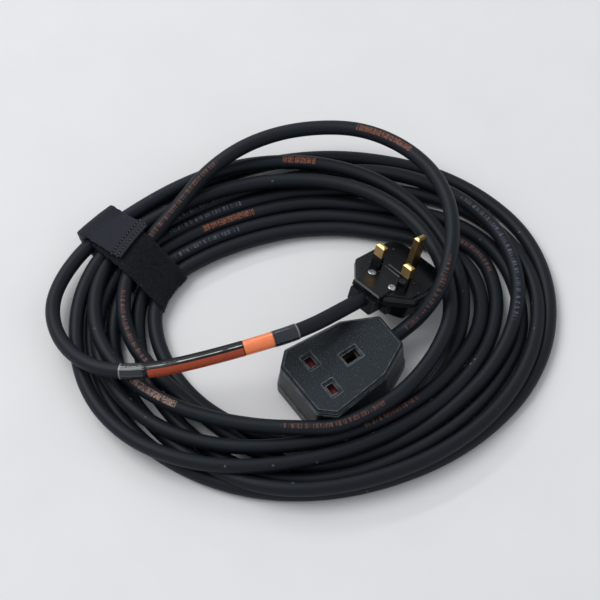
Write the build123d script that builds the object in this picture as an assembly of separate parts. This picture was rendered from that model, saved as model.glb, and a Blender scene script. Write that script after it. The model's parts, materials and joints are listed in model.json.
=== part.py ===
from build123d import *
import os
from math import pi, radians, tan

# Extension lead: a rubber trailing socket, a fused three-pin plug and the coiled flexible cord between them.
# Millimetres. The origin is under the middle of the socket's back, +X runs towards its cord end, +Z is up.

# Pins, shared by the plug and the socket
LINE_PITCH = 22.2  # live pin to neutral pin
EARTH_OFFSET = 22.2  # earth pin to the line through live and neutral
PIN_THICK = 4.0
LINE_PIN_WIDE = 6.35
LINE_PIN_LONG = 17.7
EARTH_PIN_WIDE = 8.0
EARTH_PIN_LONG = 22.7
PIN_TIP_BEVEL = 1.2
SLEEVE_LONG = 9.5
SLEEVE_WALL = 0.6

# Cord
CORD_D = 9.2
CORE_D = 2.8
CORE_BEND = 3.0
CORE_SPREAD = 2.4  # core axis to cord axis
CORE_LEAD = 2.4  # straight stretch of a core as it leaves the sheath

# Clearances
FIT = 0.1
SLACK = 0.3

# Socket body
SOCKET_LENGTH = 69.0
SOCKET_HEIGHT = 30.0
FRONT_HALF = 18.5
SHOULDER_HALF = 26.8
SHOULDER_SETBACK = 9.0
WAIST_HALF = 23.0
TAPER_LENGTH = 21.5
END_HALF = 12.0
OUTLINE_R = 2.5
INNER_R = 0.5  # least round of an inner outline
DRAFT_DEG = 4.5
FACE_BEVEL = 1.6
SHELL_WALL = 3.0
FACE_WALL = 4.5
BASE_HEIGHT = 8.0
BASE_FLOOR = 3.0
BASE_LIP = 0.5
BASE_BEVEL = 1.2
GROOVE_DROP = 3.2
GROOVE_WIDE = 0.9
GROOVE_DEEP = 0.6

# Socket apertures: size along X, size along Y
LINE_SETBACK = 16.5  # front edge to the live and neutral apertures
LINE_HOLE = (4.7, 7.0)
LINE_RECESS = (7.9, 11.4)
EARTH_HOLE = (10.0, 6.4)
EARTH_RECESS = (12.3, 9.7)
RECESS_DEEP = 1.6

# Socket insides
CARRIER_END = 23.5  # from the live and neutral line to the carrier's square end
TONGUE_HALF = 4.6
TONGUE_LONG = 10.6
POCKET_FLOOR = 1.0
SHUTTER_DROP = 2.1  # ceiling to shutter
SHUTTER_THICK = 3.4
SHUTTER_LONG = 7.2
SHUTTER_HALF = 15.0
SHUTTER_TRAVEL = 6.2
SHUTTER_RAMP = 2.8
BRIDGE_HALF = 6.5
BRIDGE_DROP = 1.6
SPRING_SHEET = 0.4
SPRING_HALF = 7.5
SHEET = 0.8
LEAF_LONG = 6.7
LINE_LEAF_DROP = 2.0  # shutter to the tops of the leaves
EARTH_LEAF_DROP = 2.0  # ceiling to the tops of the leaves
LEAF_FLARE = 0.45
FLARE_TALL = 2.5
TERMINAL_WIDE = 4.8
TERMINAL_LONG = 5.6
LINE_TERMINAL_DROP = 4.0  # shutter's underside to the terminal's top
LINE_TERMINAL_OUT = 7.4  # pin axis to terminal axis
EARTH_TERMINAL_OUT = 8.0
LINE_WIRE_DROP = 4.0  # terminal's top to the wire hole
EARTH_TERMINAL_DROP = 3.5  # ceiling to the terminal's top
BOSS_D = 6.6
FRONT_BOSS = (-27.0, 15.5)
REAR_BOSS = (20.5, 11.8)
CORD_EXIT_DROP = 13.5  # socket's face to the cord's axis
CORD_INSET = 12.5  # how far the sheath reaches into the socket
CLAMP_SETBACK = 7.5
CLAMP_LONG = 5.0
CLAMP_HALF = 10.4
CLAMP_THICK = 2.4
CLAMP_SCREW_OUT = 7.6
POST_D = 5.2

# Screws
SCREW_D = 3.0
CASE_SCREW_LONG = 14.0
CASE_HEAD = (6.0, 1.7)
CLAMP_SCREW_LONG = 10.0
CLAMP_HEAD = (5.0, 1.6)
TERMINAL_SCREW_LONG = 3.0
TERMINAL_HEAD = (4.4, 1.5)
SLOT_WIDE = 0.8
SLOT_DEEP = 0.8

# Plug, in its own frame: +X from the line pins to the earth pin, +Y to the live pin, +Z out along the pins
PLUG_AT = (54.8, 29.5, 30.5)
PLUG_YAW = 7.9
PLUG_PITCH = 23.3
PLUG_ROLL = -4.75
PLUG_HALF = 24.6
PLUG_EARTH_END = 36.0
PLUG_SIDE_START = -3.0
PLUG_SHOULDER = -17.0
PLUG_NECK_HALF = 12.0
PLUG_CORNER_R = 9.0
PLUG_SHOULDER_R = 4.0
FLANGE_DROP = 1.0  # pin face to the flange's top
FLANGE_THICK = 4.5
FLANGE_BEVEL = 1.2
WAIST_INSET = 4.0
BACK_HALF = 20.0
BACK_EARTH_END = 30.5
BACK_SIDE_START = -3.0
BACK_SHOULDER = -7.5
BACK_NECK_HALF = 11.0
BACK_CORNER_R = 6.0
PLUG_DEEP = 19.5
BACK_BEVEL = 2.0
COVER_WALL = 2.2
SEAT_INSET = 3.0
BASE_PLATE = 4.0
PLATE_BEVEL = 0.6
BOSS_BACK = -22.0
BOSS_FRONT = -3.4
BOSS_HALF = 10.4
BOSS_RISE = 1.5
BOSS_BEVEL = 0.8
NECK_END = -24.0
NECK_HALF = 9.5
NECK_DEEP = 13.2
NECK_BEVEL = 1.4
PLUG_CORD_DROP = 7.0  # pin face to the cord's axis
PLUG_SHEATH_END = -4.0
GRIP_SCREW_X = -7.0
GRIP_SCREW_OUT = 8.2
GRIP_SCREW_LONG = 14.0
GRIP_HEAD = (5.2, 1.3)
GRIP_BAR = (5.6, 21.0, 2.4)  # along X, along Y, thick
PIN_TERMINAL = (6.0, 6.4, 7.4)
PIN_TERMINAL_TOP = -5.0
PLUG_WIRE_DROP = 8.5
NEUTRAL_WIRE_DROP = 10.0

# Fuse
FUSE_D = 6.3
FUSE_LONG = 25.4
FUSE_CAP_LONG = 6.0
FUSE_CAP_WALL = 0.3
FUSE_X = 14.2
FUSE_Y = 13.8
FUSE_DROP = 10.6
CLIP_SHEET = 0.6
CLIP_LONG = 5.4
LIVE_TERMINAL = (5.4, 5.0)
LIVE_CORE_RUN = 12.0  # last straight stretch of the live core

# Coil: outer and inner outline of its turns, as half axes, and the turn of the long axis about Z
COIL_TURN = -22.8
COIL_INNER_TURN = -25.0
COIL_OUTER_AT = (12.0, 43.0)
COIL_OUTER = (155.0, 124.5)
COIL_INNER_AT = (1.0, 40.0)
COIL_INNER = (95.5, 76.0)
COIL_HEIGHT = 18.4
COIL_BEVEL = 3.0

# Tie round the coil, in a frame with X across the turns and outwards, and Y along them
TIE_AT = (-58.8, 145.4)
TIE_TURN = 12.0  # direction of the turns under the tie, about Z
TIE_WIDE = 28.0
TIE_SHEET = 1.5
TIE_FOLD = 4.0  # how far the fold stands out
TIE_TAIL = 29.0  # top layer, from the bundle's outer edge to the sewn end
# Turns that shape the bundle: place across it, and height above its lowest turns, at the tie's two edges
INNER_TURN = (-34.4, -28.9)
LOWER_TURN = (4.4, 4.6)
OUTER_TURN = (22.8, 20.3)
OUTER_RISE = (7.9, 8.7)
UPPER_TURN = (-11.6, -3.7)
UPPER_RISE = (8.6, 10.1)

# Cord's loose ends, as corner points of the route
PLUG_END_LEAD = 36.0  # first straight stretch, from the pins' line along the plug's axis
PLUG_END_ROUTE = [
    (-12, 23.5, 45),
    (-41, 32, 44.5),
    (-68, 43.5, 40),
    (-93, 56, 35),
    (-115, 72, 29),
    (-131, 92.5, 23),
    (-135, 119.5, 17.5),
    (-125.5, 143.5, 14),
    (-104, 160, 13),
    (-77.9, 163.9, 14.2),
]
SOCKET_END_LEAD = 46.0  # end of the straight stretch out of the socket
SOCKET_END_ROUTE = [
    (62.5, -2, 34),
    (83, 7, 42),
    (105, 23, 42.5),
    (120, 46, 41.5),
    (127, 73, 39),
    (123, 101, 36),
    (110, 125, 34),
    (89, 143, 32),
    (64, 155, 30.5),
    (37, 160, 29),
    (10, 158, 27),
    (-17, 151, 22.5),
    (-43, 143, 14),
]

# Heat-shrunk sleeve and its printed wraps, as distances along the plug's loose end
WRAP_WALL = 0.2
SLEEVE_TUBE_WALL = 0.3
SLEEVE_SPAN = (69.0, 178.0)
BAND_SPAN = (84.0, 102.0)
LABEL_SPAN = (102.6, 160.5)

# Places worked out from the sizes
line_x = -SOCKET_LENGTH / 2 + LINE_SETBACK
earth_x = line_x + EARTH_OFFSET
end_x = SOCKET_LENGTH / 2
ceiling = SOCKET_HEIGHT - FACE_WALL
pocket_z = BASE_FLOOR + POCKET_FLOOR
shutter_top = ceiling - SHUTTER_DROP
shutter_bottom = shutter_top - SHUTTER_THICK
channel_half = SHUTTER_HALF + FIT
channel_end = line_x + SHUTTER_LONG / 2 + SHUTTER_TRAVEL + 2 * SPRING_SHEET
clamp_x = end_x - CLAMP_SETBACK
sheath_x = end_x - CORD_INSET
line_terminal_y = LINE_PITCH / 2 + LINE_TERMINAL_OUT
line_terminal_top = shutter_bottom - LINE_TERMINAL_DROP
line_wire_z = line_terminal_top - LINE_WIRE_DROP
earth_terminal_top = ceiling - EARTH_TERMINAL_DROP
exit_z = SOCKET_HEIGHT - CORD_EXIT_DROP
earth_wire_z = exit_z + CORE_SPREAD
plug_place = Pos(*PLUG_AT) * Rot(0, 0, PLUG_YAW) * Rot(0, PLUG_PITCH, 0) * Rot(PLUG_ROLL, 0, 0)


def block(x, y, z):
    """Box between three pairs of lowest and highest coordinates."""
    middle = Pos((x[0] + x[1]) / 2, (y[0] + y[1]) / 2, (z[0] + z[1]) / 2)
    return middle * Box(x[1] - x[0], y[1] - y[0], z[1] - z[0])


def span(middle, size):
    """Lowest and highest coordinate of a size centred on a place."""
    return (middle - size / 2, middle + size / 2)


def rod(x, y, z, radius):
    """Upright cylinder at x, y between a pair of heights."""
    return Pos(x, y, (z[0] + z[1]) / 2) * Cylinder(radius, z[1] - z[0])


def lying_rod(x, y, z, radius):
    """Cylinder along X between a pair of places."""
    return Pos((x[0] + x[1]) / 2, y, z) * Rot(0, 90, 0) * Cylinder(radius, x[1] - x[0])


def crossing_rod(x, y, z, radius):
    """Cylinder along Y between a pair of places."""
    return Pos(x, (y[0] + y[1]) / 2, z) * Rot(90, 0, 0) * Cylinder(radius, y[1] - y[0])


def mirrored(points):
    """Outline corners from those on the +Y side, taken from the far end round to it again."""
    return points + [(x, -y) for x, y in reversed(points)]


def grown(face, grow):
    """Straight-sided outline moved out evenly, with its corners kept."""
    return offset(face, grow, kind=Kind.INTERSECTION) if grow else face


def screw(head, length, crossed=False):
    """Slotted or crossed pan-head screw: seat at z = 0, head above and shank below."""
    head_d, head_h = head
    body = rod(0, 0, (0, head_h), head_d / 2)
    body = chamfer(body.edges().group_by(Axis.Z)[-1], head_h * 0.3)
    body += rod(0, 0, (-length, 0), SCREW_D / 2)
    reach = (-head_d, head_d) if not crossed else (-head_d * 0.32, head_d * 0.32)
    slot = block(reach, (-SLOT_WIDE / 2, SLOT_WIDE / 2), (head_h - SLOT_DEEP, head_h + 1))
    body -= slot
    if crossed:
        body -= Rot(0, 0, 90) * slot
    return body


def tube(path, outer, inner=0.0):
    """Round tube along a path, solid unless it has an inner radius."""
    ring = Circle(outer) - Circle(inner) if inner else Circle(outer)
    return sweep(Plane(origin=path @ 0, z_dir=path % 0) * ring, path=path)


# Socket
def socket_outline(grow=0.0):
    """Outline of the socket's face, grown evenly all round."""
    front = -SOCKET_LENGTH / 2
    side = [
        (end_x, END_HALF),
        (end_x - TAPER_LENGTH, WAIST_HALF),
        (front + SHOULDER_SETBACK, SHOULDER_HALF),
        (front, FRONT_HALF),
    ]
    face = grown(make_face(Polyline(*mirrored(side), close=True)), grow)
    return fillet(face.vertices(), max(OUTLINE_R + grow, INNER_R))


def bosses():
    """Places of the four case screws."""
    return [(x, side * y) for x, y in (FRONT_BOSS, REAR_BOSS) for side in (1, -1)]


def line_places():
    """Live and neutral: the side of the socket that each is on."""
    return {"live": -1, "neutral": 1}


def skirt_growth(z):
    """How far the drafted side stands out from the face outline at a height."""
    return (SOCKET_HEIGHT - z) * tan(radians(DRAFT_DEG))


def aperture(x, y, hole, recess):
    """Cutter for one pin aperture: a shallow recess and the hole through the face."""
    sunk = block(span(x, recess[0]), span(y, recess[1]), (SOCKET_HEIGHT - RECESS_DEEP, SOCKET_HEIGHT + 1))
    through = block(span(x, hole[0]), span(y, hole[1]), (ceiling - 1, SOCKET_HEIGHT + 1))
    return sunk + through


def socket_top_shell():
    """Rubber top: drafted skirt, bevelled face, three apertures, four screw bosses and the cord hole."""
    foot = Pos(0, 0, BASE_HEIGHT) * socket_outline(skirt_growth(BASE_HEIGHT))
    shell = loft([foot, Pos(0, 0, SOCKET_HEIGHT) * socket_outline()], ruled=True)
    shell = chamfer(shell.edges().group_by(Axis.Z)[-1], FACE_BEVEL)
    shell -= Pos(0, 0, BASE_HEIGHT) * extrude(socket_outline(-SHELL_WALL), ceiling - BASE_HEIGHT)
    groove_z = SOCKET_HEIGHT - GROOVE_DROP
    groove_wall = skirt_growth(groove_z) - GROOVE_DEEP
    groove = extrude(socket_outline(SHELL_WALL) - socket_outline(groove_wall), GROOVE_WIDE)
    shell -= Pos(0, 0, groove_z - GROOVE_WIDE) * groove
    for x, y in bosses():
        shell += rod(x, y, (BASE_FLOOR, ceiling), BOSS_D / 2)
    for x, y in bosses():
        shell -= rod(x, y, (0, BASE_FLOOR + CASE_SCREW_LONG), SCREW_D / 2 + FIT / 2)
    for side in line_places().values():
        shell -= aperture(line_x, side * LINE_PITCH / 2, LINE_HOLE, LINE_RECESS)
    shell -= aperture(earth_x, 0, EARTH_HOLE, EARTH_RECESS)
    shell -= lying_rod((end_x - 2 * SHELL_WALL, end_x + SHELL_WALL), 0, exit_z, CORD_D / 2 + FIT)
    return shell


def socket_base():
    """Rubber base tray: countersunk screw holes, two clamp posts and the cord's saddle."""
    tray = extrude(socket_outline(skirt_growth(BASE_HEIGHT) + BASE_LIP), BASE_HEIGHT)
    tray = chamfer(tray.edges().group_by(Axis.Z)[0], BASE_BEVEL)
    tray = chamfer(tray.edges().group_by(Axis.Z)[-1], BASE_LIP / 2)
    tray -= Pos(0, 0, BASE_FLOOR) * extrude(socket_outline(-SHELL_WALL), BASE_HEIGHT)
    clamp = span(clamp_x, CLAMP_LONG)
    tray += block(clamp, span(0, CORD_D * 0.9), (BASE_FLOOR, exit_z - CORD_D / 4))
    for side in (1, -1):
        post = rod(clamp_x, side * CLAMP_SCREW_OUT, (BASE_FLOOR, exit_z + CORD_D / 2), POST_D / 2)
        tray += post
        hole_z = (exit_z + CORD_D / 2 - CLAMP_SCREW_LONG, SOCKET_HEIGHT)
        tray -= rod(clamp_x, side * CLAMP_SCREW_OUT, hole_z, SCREW_D / 2 + FIT / 2)
    tray -= lying_rod((sheath_x, end_x), 0, exit_z, CORD_D / 2 + FIT)
    for x, y in bosses():
        tray -= rod(x, y, (-1, BASE_FLOOR + 1), SCREW_D / 2 + FIT)
        tray -= rod(x, y, (-1, CASE_HEAD[1] + FIT), CASE_HEAD[0] / 2 + FIT)
    return tray


def socket_carrier():
    """Hard moulding that holds the contacts and guides the shutter."""
    body = Pos(0, 0, BASE_FLOOR) * extrude(socket_outline(-SHELL_WALL - SLACK), ceiling - SLACK - BASE_FLOOR)
    square_end = line_x + CARRIER_END
    tall = (BASE_FLOOR, ceiling)
    keep = block((-SOCKET_LENGTH, square_end), (-SHOULDER_HALF, SHOULDER_HALF), tall)
    keep += block((0, square_end + TONGUE_LONG), (-TONGUE_HALF, TONGUE_HALF), tall)
    body = body & keep
    above = (pocket_z, SOCKET_HEIGHT)
    channel_start = line_x - SHUTTER_LONG / 2 - FIT
    channel_z = (shutter_bottom - FIT, SOCKET_HEIGHT)
    body -= block((channel_start, channel_end), (-channel_half, channel_half), channel_z)
    for x, y in bosses():
        body -= rod(x, y, (0, SOCKET_HEIGHT), BOSS_D / 2 + SLACK)
    leaf_room = PIN_THICK + 2 * (SHEET + LEAF_FLARE) + 2 * SLACK
    strap_room = PIN_THICK + 2 * SHEET + 2 * SLACK
    terminal_low = line_terminal_y - TERMINAL_WIDE / 2 - SLACK
    terminal_high = line_terminal_y + TERMINAL_WIDE / 2 + SLACK
    for side in line_places().values():
        y = side * LINE_PITCH / 2
        body -= block(span(line_x, leaf_room), span(y, LEAF_LONG + 2 * SLACK), above)
        strap_y = sorted((y, side * line_terminal_y))
        body -= block(span(line_x, strap_room), strap_y, (pocket_z, pocket_z + 2 * SHEET))
        out = sorted((side * terminal_low, side * terminal_high))
        body -= block(span(line_x, TERMINAL_LONG + 2 * SLACK), out, above)
        wire_z = (line_wire_z - CORE_D / 2 - SLACK, SOCKET_HEIGHT)
        body -= block((line_x, square_end + 1), out, wire_z)
    body -= block(span(earth_x, LEAF_LONG + 2 * SLACK), span(0, leaf_room), above)
    terminal_x = earth_x + EARTH_TERMINAL_OUT
    body -= block(span(terminal_x, TERMINAL_LONG + 2 * SLACK), span(0, TERMINAL_WIDE + 2 * SLACK), above)
    body -= block((earth_x, terminal_x), span(0, strap_room), (pocket_z, pocket_z + 2 * SHEET))
    wire_slot = (earth_wire_z - CORE_D / 2 - SLACK, SOCKET_HEIGHT)
    body -= block((terminal_x, end_x), span(0, CORE_D + 2 * SLACK), wire_slot)
    return body


def socket_shutter():
    """Sliding shutter with a ramp under each line aperture, for the pins to push it aside."""
    along = span(line_x, SHUTTER_LONG)
    plate = block(along, (-SHUTTER_HALF, SHUTTER_HALF), (shutter_bottom, shutter_top))
    bridge_top = shutter_top - BRIDGE_DROP
    plate -= block((along[0] - 1, along[1] + 1), (-BRIDGE_HALF, BRIDGE_HALF), (bridge_top, SOCKET_HEIGHT))
    ramp = Polyline(
        (along[0] - 1, shutter_top + 1),
        (line_x + 1.2, shutter_top + 1),
        (line_x + 1.2, shutter_top),
        (along[0], shutter_top - SHUTTER_RAMP),
        (along[0] - 1, shutter_top - SHUTTER_RAMP),
        close=True,
    )
    return plate - extrude(Plane.XZ * make_face(ramp), 2 * SHUTTER_HALF, both=True)


def shutter_spring():
    """Bowed leaf that presses the shutter back over the apertures."""
    foot = channel_end - SPRING_SHEET - FIT
    crown = line_x + SHUTTER_LONG / 2 + SPRING_SHEET / 2 + SLACK
    bow = ThreePointArc((foot, -SPRING_HALF), (crown, 0), (foot, SPRING_HALF))
    bridge = shutter_top - BRIDGE_DROP
    return Pos(0, 0, shutter_bottom + FIT) * extrude(trace(bow, SPRING_SHEET), bridge - shutter_bottom - FIT)


def leaf_profile(tall):
    """Upright pair of contact leaves joined at the foot, flared at the top to lead a pin in."""
    leaf = PIN_THICK / 2 - FIT / 2 + SHEET / 2
    right = [(leaf, SHEET / 2), (leaf, tall - FLARE_TALL), (leaf + LEAF_FLARE, tall)]
    left = [(-u, v) for u, v in reversed(right)]
    return trace(Polyline(*left, *right), SHEET)


def wired_terminal(x, y, z, wire_z):
    """Brass terminal block with its wire hole along X and its screw hole down from the top."""
    body = block(span(x, TERMINAL_LONG), span(y, TERMINAL_WIDE), z)
    body -= lying_rod(span(x, TERMINAL_LONG + 2), y, wire_z, CORE_D / 2 + FIT)
    body -= rod(x, y, (wire_z, z[1] + 1), SCREW_D / 2 + FIT / 2)
    return body


def line_contact(side):
    """Live or neutral contact: two leaves across X, and a terminal further out."""
    y = side * LINE_PITCH / 2
    profile = Plane.XZ * leaf_profile(shutter_bottom - LINE_LEAF_DROP - pocket_z)
    leaves = Pos(line_x, y, pocket_z) * extrude(profile, LEAF_LONG / 2, both=True)
    out = sorted((y, side * line_terminal_y))
    strap = block(span(line_x, PIN_THICK + SHEET), out, (pocket_z, pocket_z + SHEET))
    tall = (pocket_z, line_terminal_top)
    return leaves + strap + wired_terminal(line_x, side * line_terminal_y, tall, line_wire_z)


def earth_contact():
    """Earth contact: two leaves across Y, and a terminal towards the cord."""
    profile = Plane.YZ * leaf_profile(ceiling - EARTH_LEAF_DROP - pocket_z)
    leaves = Pos(earth_x, 0, pocket_z) * extrude(profile, LEAF_LONG / 2, both=True)
    terminal_x = earth_x + EARTH_TERMINAL_OUT
    strap = block((earth_x, terminal_x), span(0, PIN_THICK), (pocket_z, pocket_z + SHEET))
    tall = (pocket_z, earth_terminal_top)
    return leaves + strap + wired_terminal(terminal_x, 0, tall, earth_wire_z)


def socket_terminal_screws():
    """The three screws that hold the cores in the socket."""
    small = screw(TERMINAL_HEAD, TERMINAL_SCREW_LONG - CORE_D / 2)
    screws = [Pos(line_x, side * line_terminal_y, line_terminal_top) * small for side in line_places().values()]
    short = screw(TERMINAL_HEAD, earth_terminal_top - earth_wire_z - CORE_D / 2 - FIT)
    return Compound(screws + [Pos(earth_x + EARTH_TERMINAL_OUT, 0, earth_terminal_top) * short])


def socket_cord_clamp():
    """Bar that presses the cord into the base's saddle."""
    low = exit_z + CORD_D / 2 + FIT
    bar = block(span(clamp_x, CLAMP_LONG), span(0, 2 * CLAMP_HALF), (low, low + CLAMP_THICK))
    bar = fillet(bar.edges().filter_by(Axis.Z), CLAMP_LONG * 0.3)
    for side in (1, -1):
        bar -= rod(clamp_x, side * CLAMP_SCREW_OUT, (low - 1, low + CLAMP_THICK + 1), SCREW_D / 2 + FIT)
    return bar


def socket_clamp_screws():
    """Two screws through the clamp bar into the base's posts."""
    seat = exit_z + CORD_D / 2 + FIT + CLAMP_THICK
    one = screw(CLAMP_HEAD, CLAMP_SCREW_LONG, crossed=True)
    return Compound([Pos(clamp_x, side * CLAMP_SCREW_OUT, seat) * one for side in (1, -1)])


def socket_case_screws():
    """Four screws from under the base into the shell's bosses."""
    one = Rot(180, 0, 0) * screw(CASE_HEAD, CASE_SCREW_LONG, crossed=True)
    return Compound([Pos(x, y, CASE_HEAD[1] + FIT) * one for x, y in bosses()])


def core(points):
    """One insulated core along its bends."""
    return tube(FilletPolyline(*points, radius=CORE_BEND), CORE_D / 2)


def socket_line_core(side):
    """Live or neutral core, from the sheath round to its terminal."""
    start = (sheath_x - FIT, side * CORE_SPREAD, exit_z - CORE_D / 2)
    lead = (sheath_x - CORE_LEAD, side * CORE_SPREAD, exit_z - CORE_D / 2)
    turn = (line_x + CARRIER_END + CORE_LEAD, side * line_terminal_y, line_wire_z)
    finish = (line_x + TERMINAL_LONG / 2 - 2, side * line_terminal_y, line_wire_z)
    return core([start, lead, turn, finish])


def socket_earth_core():
    """Earth core, straight from the sheath into its terminal."""
    terminal_x = earth_x + EARTH_TERMINAL_OUT
    return lying_rod((terminal_x + 1, sheath_x), 0, earth_wire_z, CORE_D / 2)


# Plug, drawn in its own frame
def plug_outline(grow=0.0):
    """Outline of the plug's flange, grown evenly all round."""
    side = [
        (PLUG_EARTH_END, PLUG_HALF),
        (PLUG_SIDE_START, PLUG_HALF),
        (PLUG_SHOULDER, PLUG_NECK_HALF),
    ]
    return rounded_shield(side, PLUG_CORNER_R, PLUG_SHOULDER_R, grow)


def rounded_shield(side, corner_r, shoulder_r, grow=0.0):
    """Six-cornered outline with large rounds at the earth end and small ones at the shoulders."""
    face = grown(make_face(Polyline(*mirrored(side), close=True)), grow)
    ends = face.vertices().group_by(Axis.X)
    face = fillet(ends[-1], max(corner_r + grow, INNER_R))
    rest = [v for v in face.vertices() if v.X < side[0][0] - corner_r - 1]
    return fillet(rest, max(shoulder_r + grow, INNER_R))


def back_outline(grow=0.0):
    """Outline of the plug's narrower back."""
    side = [
        (BACK_EARTH_END, BACK_HALF),
        (BACK_SIDE_START, BACK_HALF),
        (BACK_SHOULDER, BACK_NECK_HALF),
    ]
    return rounded_shield(side, BACK_CORNER_R, PLUG_SHOULDER_R, grow)


def cord_bore(extra):
    """Cutter for the cord's way into the plug."""
    return lying_rod((NECK_END - 2, PLUG_SHEATH_END + 1), 0, -PLUG_CORD_DROP, CORD_D / 2 + extra)


def plug_cover():
    """Rubber body: wide finger flange, narrower back and the neck that the cord enters."""
    flange_low = -FLANGE_DROP - FLANGE_THICK
    flange = Pos(0, 0, flange_low) * extrude(plug_outline(), FLANGE_THICK)
    flange = chamfer(flange.edges().group_by(Axis.Z)[-1], FLANGE_BEVEL)
    back = Pos(0, 0, -PLUG_DEEP) * back_outline(-BACK_BEVEL)
    edge = Pos(0, 0, -PLUG_DEEP + BACK_BEVEL) * back_outline()
    body = loft([back, edge, Pos(0, 0, flange_low) * plug_outline(-WAIST_INSET)], ruled=True)
    neck = block((NECK_END, BACK_SHOULDER), (-NECK_HALF, NECK_HALF), (-NECK_DEEP, -BASE_PLATE + 1))
    neck = chamfer(neck.edges().filter_by(Axis.X).group_by(Axis.Z)[0], NECK_BEVEL)
    grip_x, grip_y, grip_low = grip_room()
    house_x = (grip_x[0] - COVER_WALL, grip_x[1])
    house_y = (grip_y[0] - COVER_WALL, grip_y[1] + COVER_WALL)
    house = block(house_x, house_y, (grip_low - COVER_WALL, flange_low))
    house = chamfer(house.edges().group_by(Axis.Z)[0], NECK_BEVEL)
    cover = flange + body + neck + house
    seat_z = -BASE_PLATE - FIT
    inner_back = Pos(0, 0, COVER_WALL - PLUG_DEEP) * back_outline(-COVER_WALL)
    inner_waist = Pos(0, 0, seat_z) * plug_outline(-WAIST_INSET - COVER_WALL)
    cover -= loft([inner_back, inner_waist], ruled=True)
    cover -= block(grip_x, grip_y, (grip_low, seat_z))
    cover -= Pos(0, 0, seat_z) * extrude(plug_outline(-SEAT_INSET), PLUG_DEEP)
    boss_room = BOSS_HALF + FIT
    cover -= block((2 * NECK_END, BOSS_FRONT), (-boss_room, boss_room), (-BASE_PLATE + 1 - FIT, PLUG_DEEP))
    return cover - cord_bore(2 * FIT)


def grip_room():
    """Space that the cord grip's bar and screw ends take up in the cover."""
    along, across, thick = GRIP_BAR
    low = BOSS_RISE - GRIP_HEAD[1] - GRIP_SCREW_LONG - SLACK
    bar_low = -PLUG_CORD_DROP - CORD_D / 2 - FIT - thick - SLACK
    return span(GRIP_SCREW_X, along + 2 * SLACK), span(0, across + 2 * SLACK), min(low, bar_low)


def pin_places():
    """Centre, size along X and Y, and length of each pin."""
    return {
        "earth": (EARTH_OFFSET, 0, EARTH_PIN_WIDE, PIN_THICK, EARTH_PIN_LONG),
        "live": (0, LINE_PITCH / 2, PIN_THICK, LINE_PIN_WIDE, LINE_PIN_LONG),
        "neutral": (0, -LINE_PITCH / 2, PIN_THICK, LINE_PIN_WIDE, LINE_PIN_LONG),
    }


def grip_screw_places():
    """Places of the two cord-grip screws."""
    return [(GRIP_SCREW_X, side * GRIP_SCREW_OUT) for side in (1, -1)]


def plug_base():
    """Hard pin plate with the raised cord grip, pierced for the pins and the two grip screws."""
    plate = Pos(0, 0, -BASE_PLATE) * extrude(plug_outline(-SEAT_INSET - FIT), BASE_PLATE)
    plate = chamfer(plate.edges().group_by(Axis.Z)[-1], PLATE_BEVEL)
    boss = block((BOSS_BACK, BOSS_FRONT), (-BOSS_HALF, BOSS_HALF), (-BASE_PLATE + 1, BOSS_RISE))
    boss = chamfer(boss.edges().group_by(Axis.Z)[-1], BOSS_BEVEL)
    plate += boss
    for x, y, along, across, _ in pin_places().values():
        slimmer = 2 * inset_of(along) - FIT
        through = (-BASE_PLATE - 1, BOSS_RISE + 1)
        plate -= block(span(x, along - slimmer), span(y, across - slimmer), through)
    for x, y in grip_screw_places():
        plate -= rod(x, y, (-BASE_PLATE - 1, BOSS_RISE + 1), SCREW_D / 2 + FIT)
        plate -= rod(x, y, (BOSS_RISE - GRIP_HEAD[1], BOSS_RISE + 1), GRIP_HEAD[0] / 2 + FIT)
    return plate - cord_bore(FIT)


def inset_of(along):
    """A line pin is slimmer where its sleeve covers it; the earth pin is not sleeved."""
    return 0.0 if along == EARTH_PIN_WIDE else SLEEVE_WALL


def bare_pin(name):
    """Rectangular pin with a bevelled tip, slimmer where it is sleeved, down to its inner end."""
    x, y, along, across, long = pin_places()[name]
    inset = inset_of(along)
    full_from = SLEEVE_LONG + FIT if inset else PIN_TERMINAL_TOP
    tip = block(span(x, along), span(y, across), (full_from, long))
    tip = chamfer(tip.edges().group_by(Axis.Z)[-1], PIN_TIP_BEVEL)
    if inset:
        tip += block(span(x, along - 2 * inset), span(y, across - 2 * inset), (PIN_TERMINAL_TOP, full_from))
    return tip


def pin_terminal(x, y, wire_z, wire_cut):
    """Terminal block on a pin's inner end, with its screw hole up from the back."""
    along, across, tall = PIN_TERMINAL
    low = PIN_TERMINAL_TOP - tall
    body = block(span(x, along), span(y, across), (low, PIN_TERMINAL_TOP))
    return body - wire_cut - rod(x, y, (low - 1, wire_z), SCREW_D / 2 + FIT / 2)


def plug_earth_pin():
    """Earth pin and its terminal."""
    hole = lying_rod(span(EARTH_OFFSET, PIN_TERMINAL[0] + 2), 0, -PLUG_WIRE_DROP, CORE_D / 2 + FIT)
    return bare_pin("earth") + pin_terminal(EARTH_OFFSET, 0, -PLUG_WIRE_DROP, hole)


def plug_neutral_pin():
    """Neutral pin and its terminal."""
    y = -LINE_PITCH / 2
    hole = crossing_rod(0, span(y, PIN_TERMINAL[1] + 2), -NEUTRAL_WIRE_DROP, CORE_D / 2 + FIT)
    return bare_pin("neutral") + pin_terminal(0, y, -NEUTRAL_WIRE_DROP, hole)


def fuse_ends():
    """Places along X of the fuse's two ends."""
    return FUSE_X - FUSE_LONG / 2, FUSE_X + FUSE_LONG / 2


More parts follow.
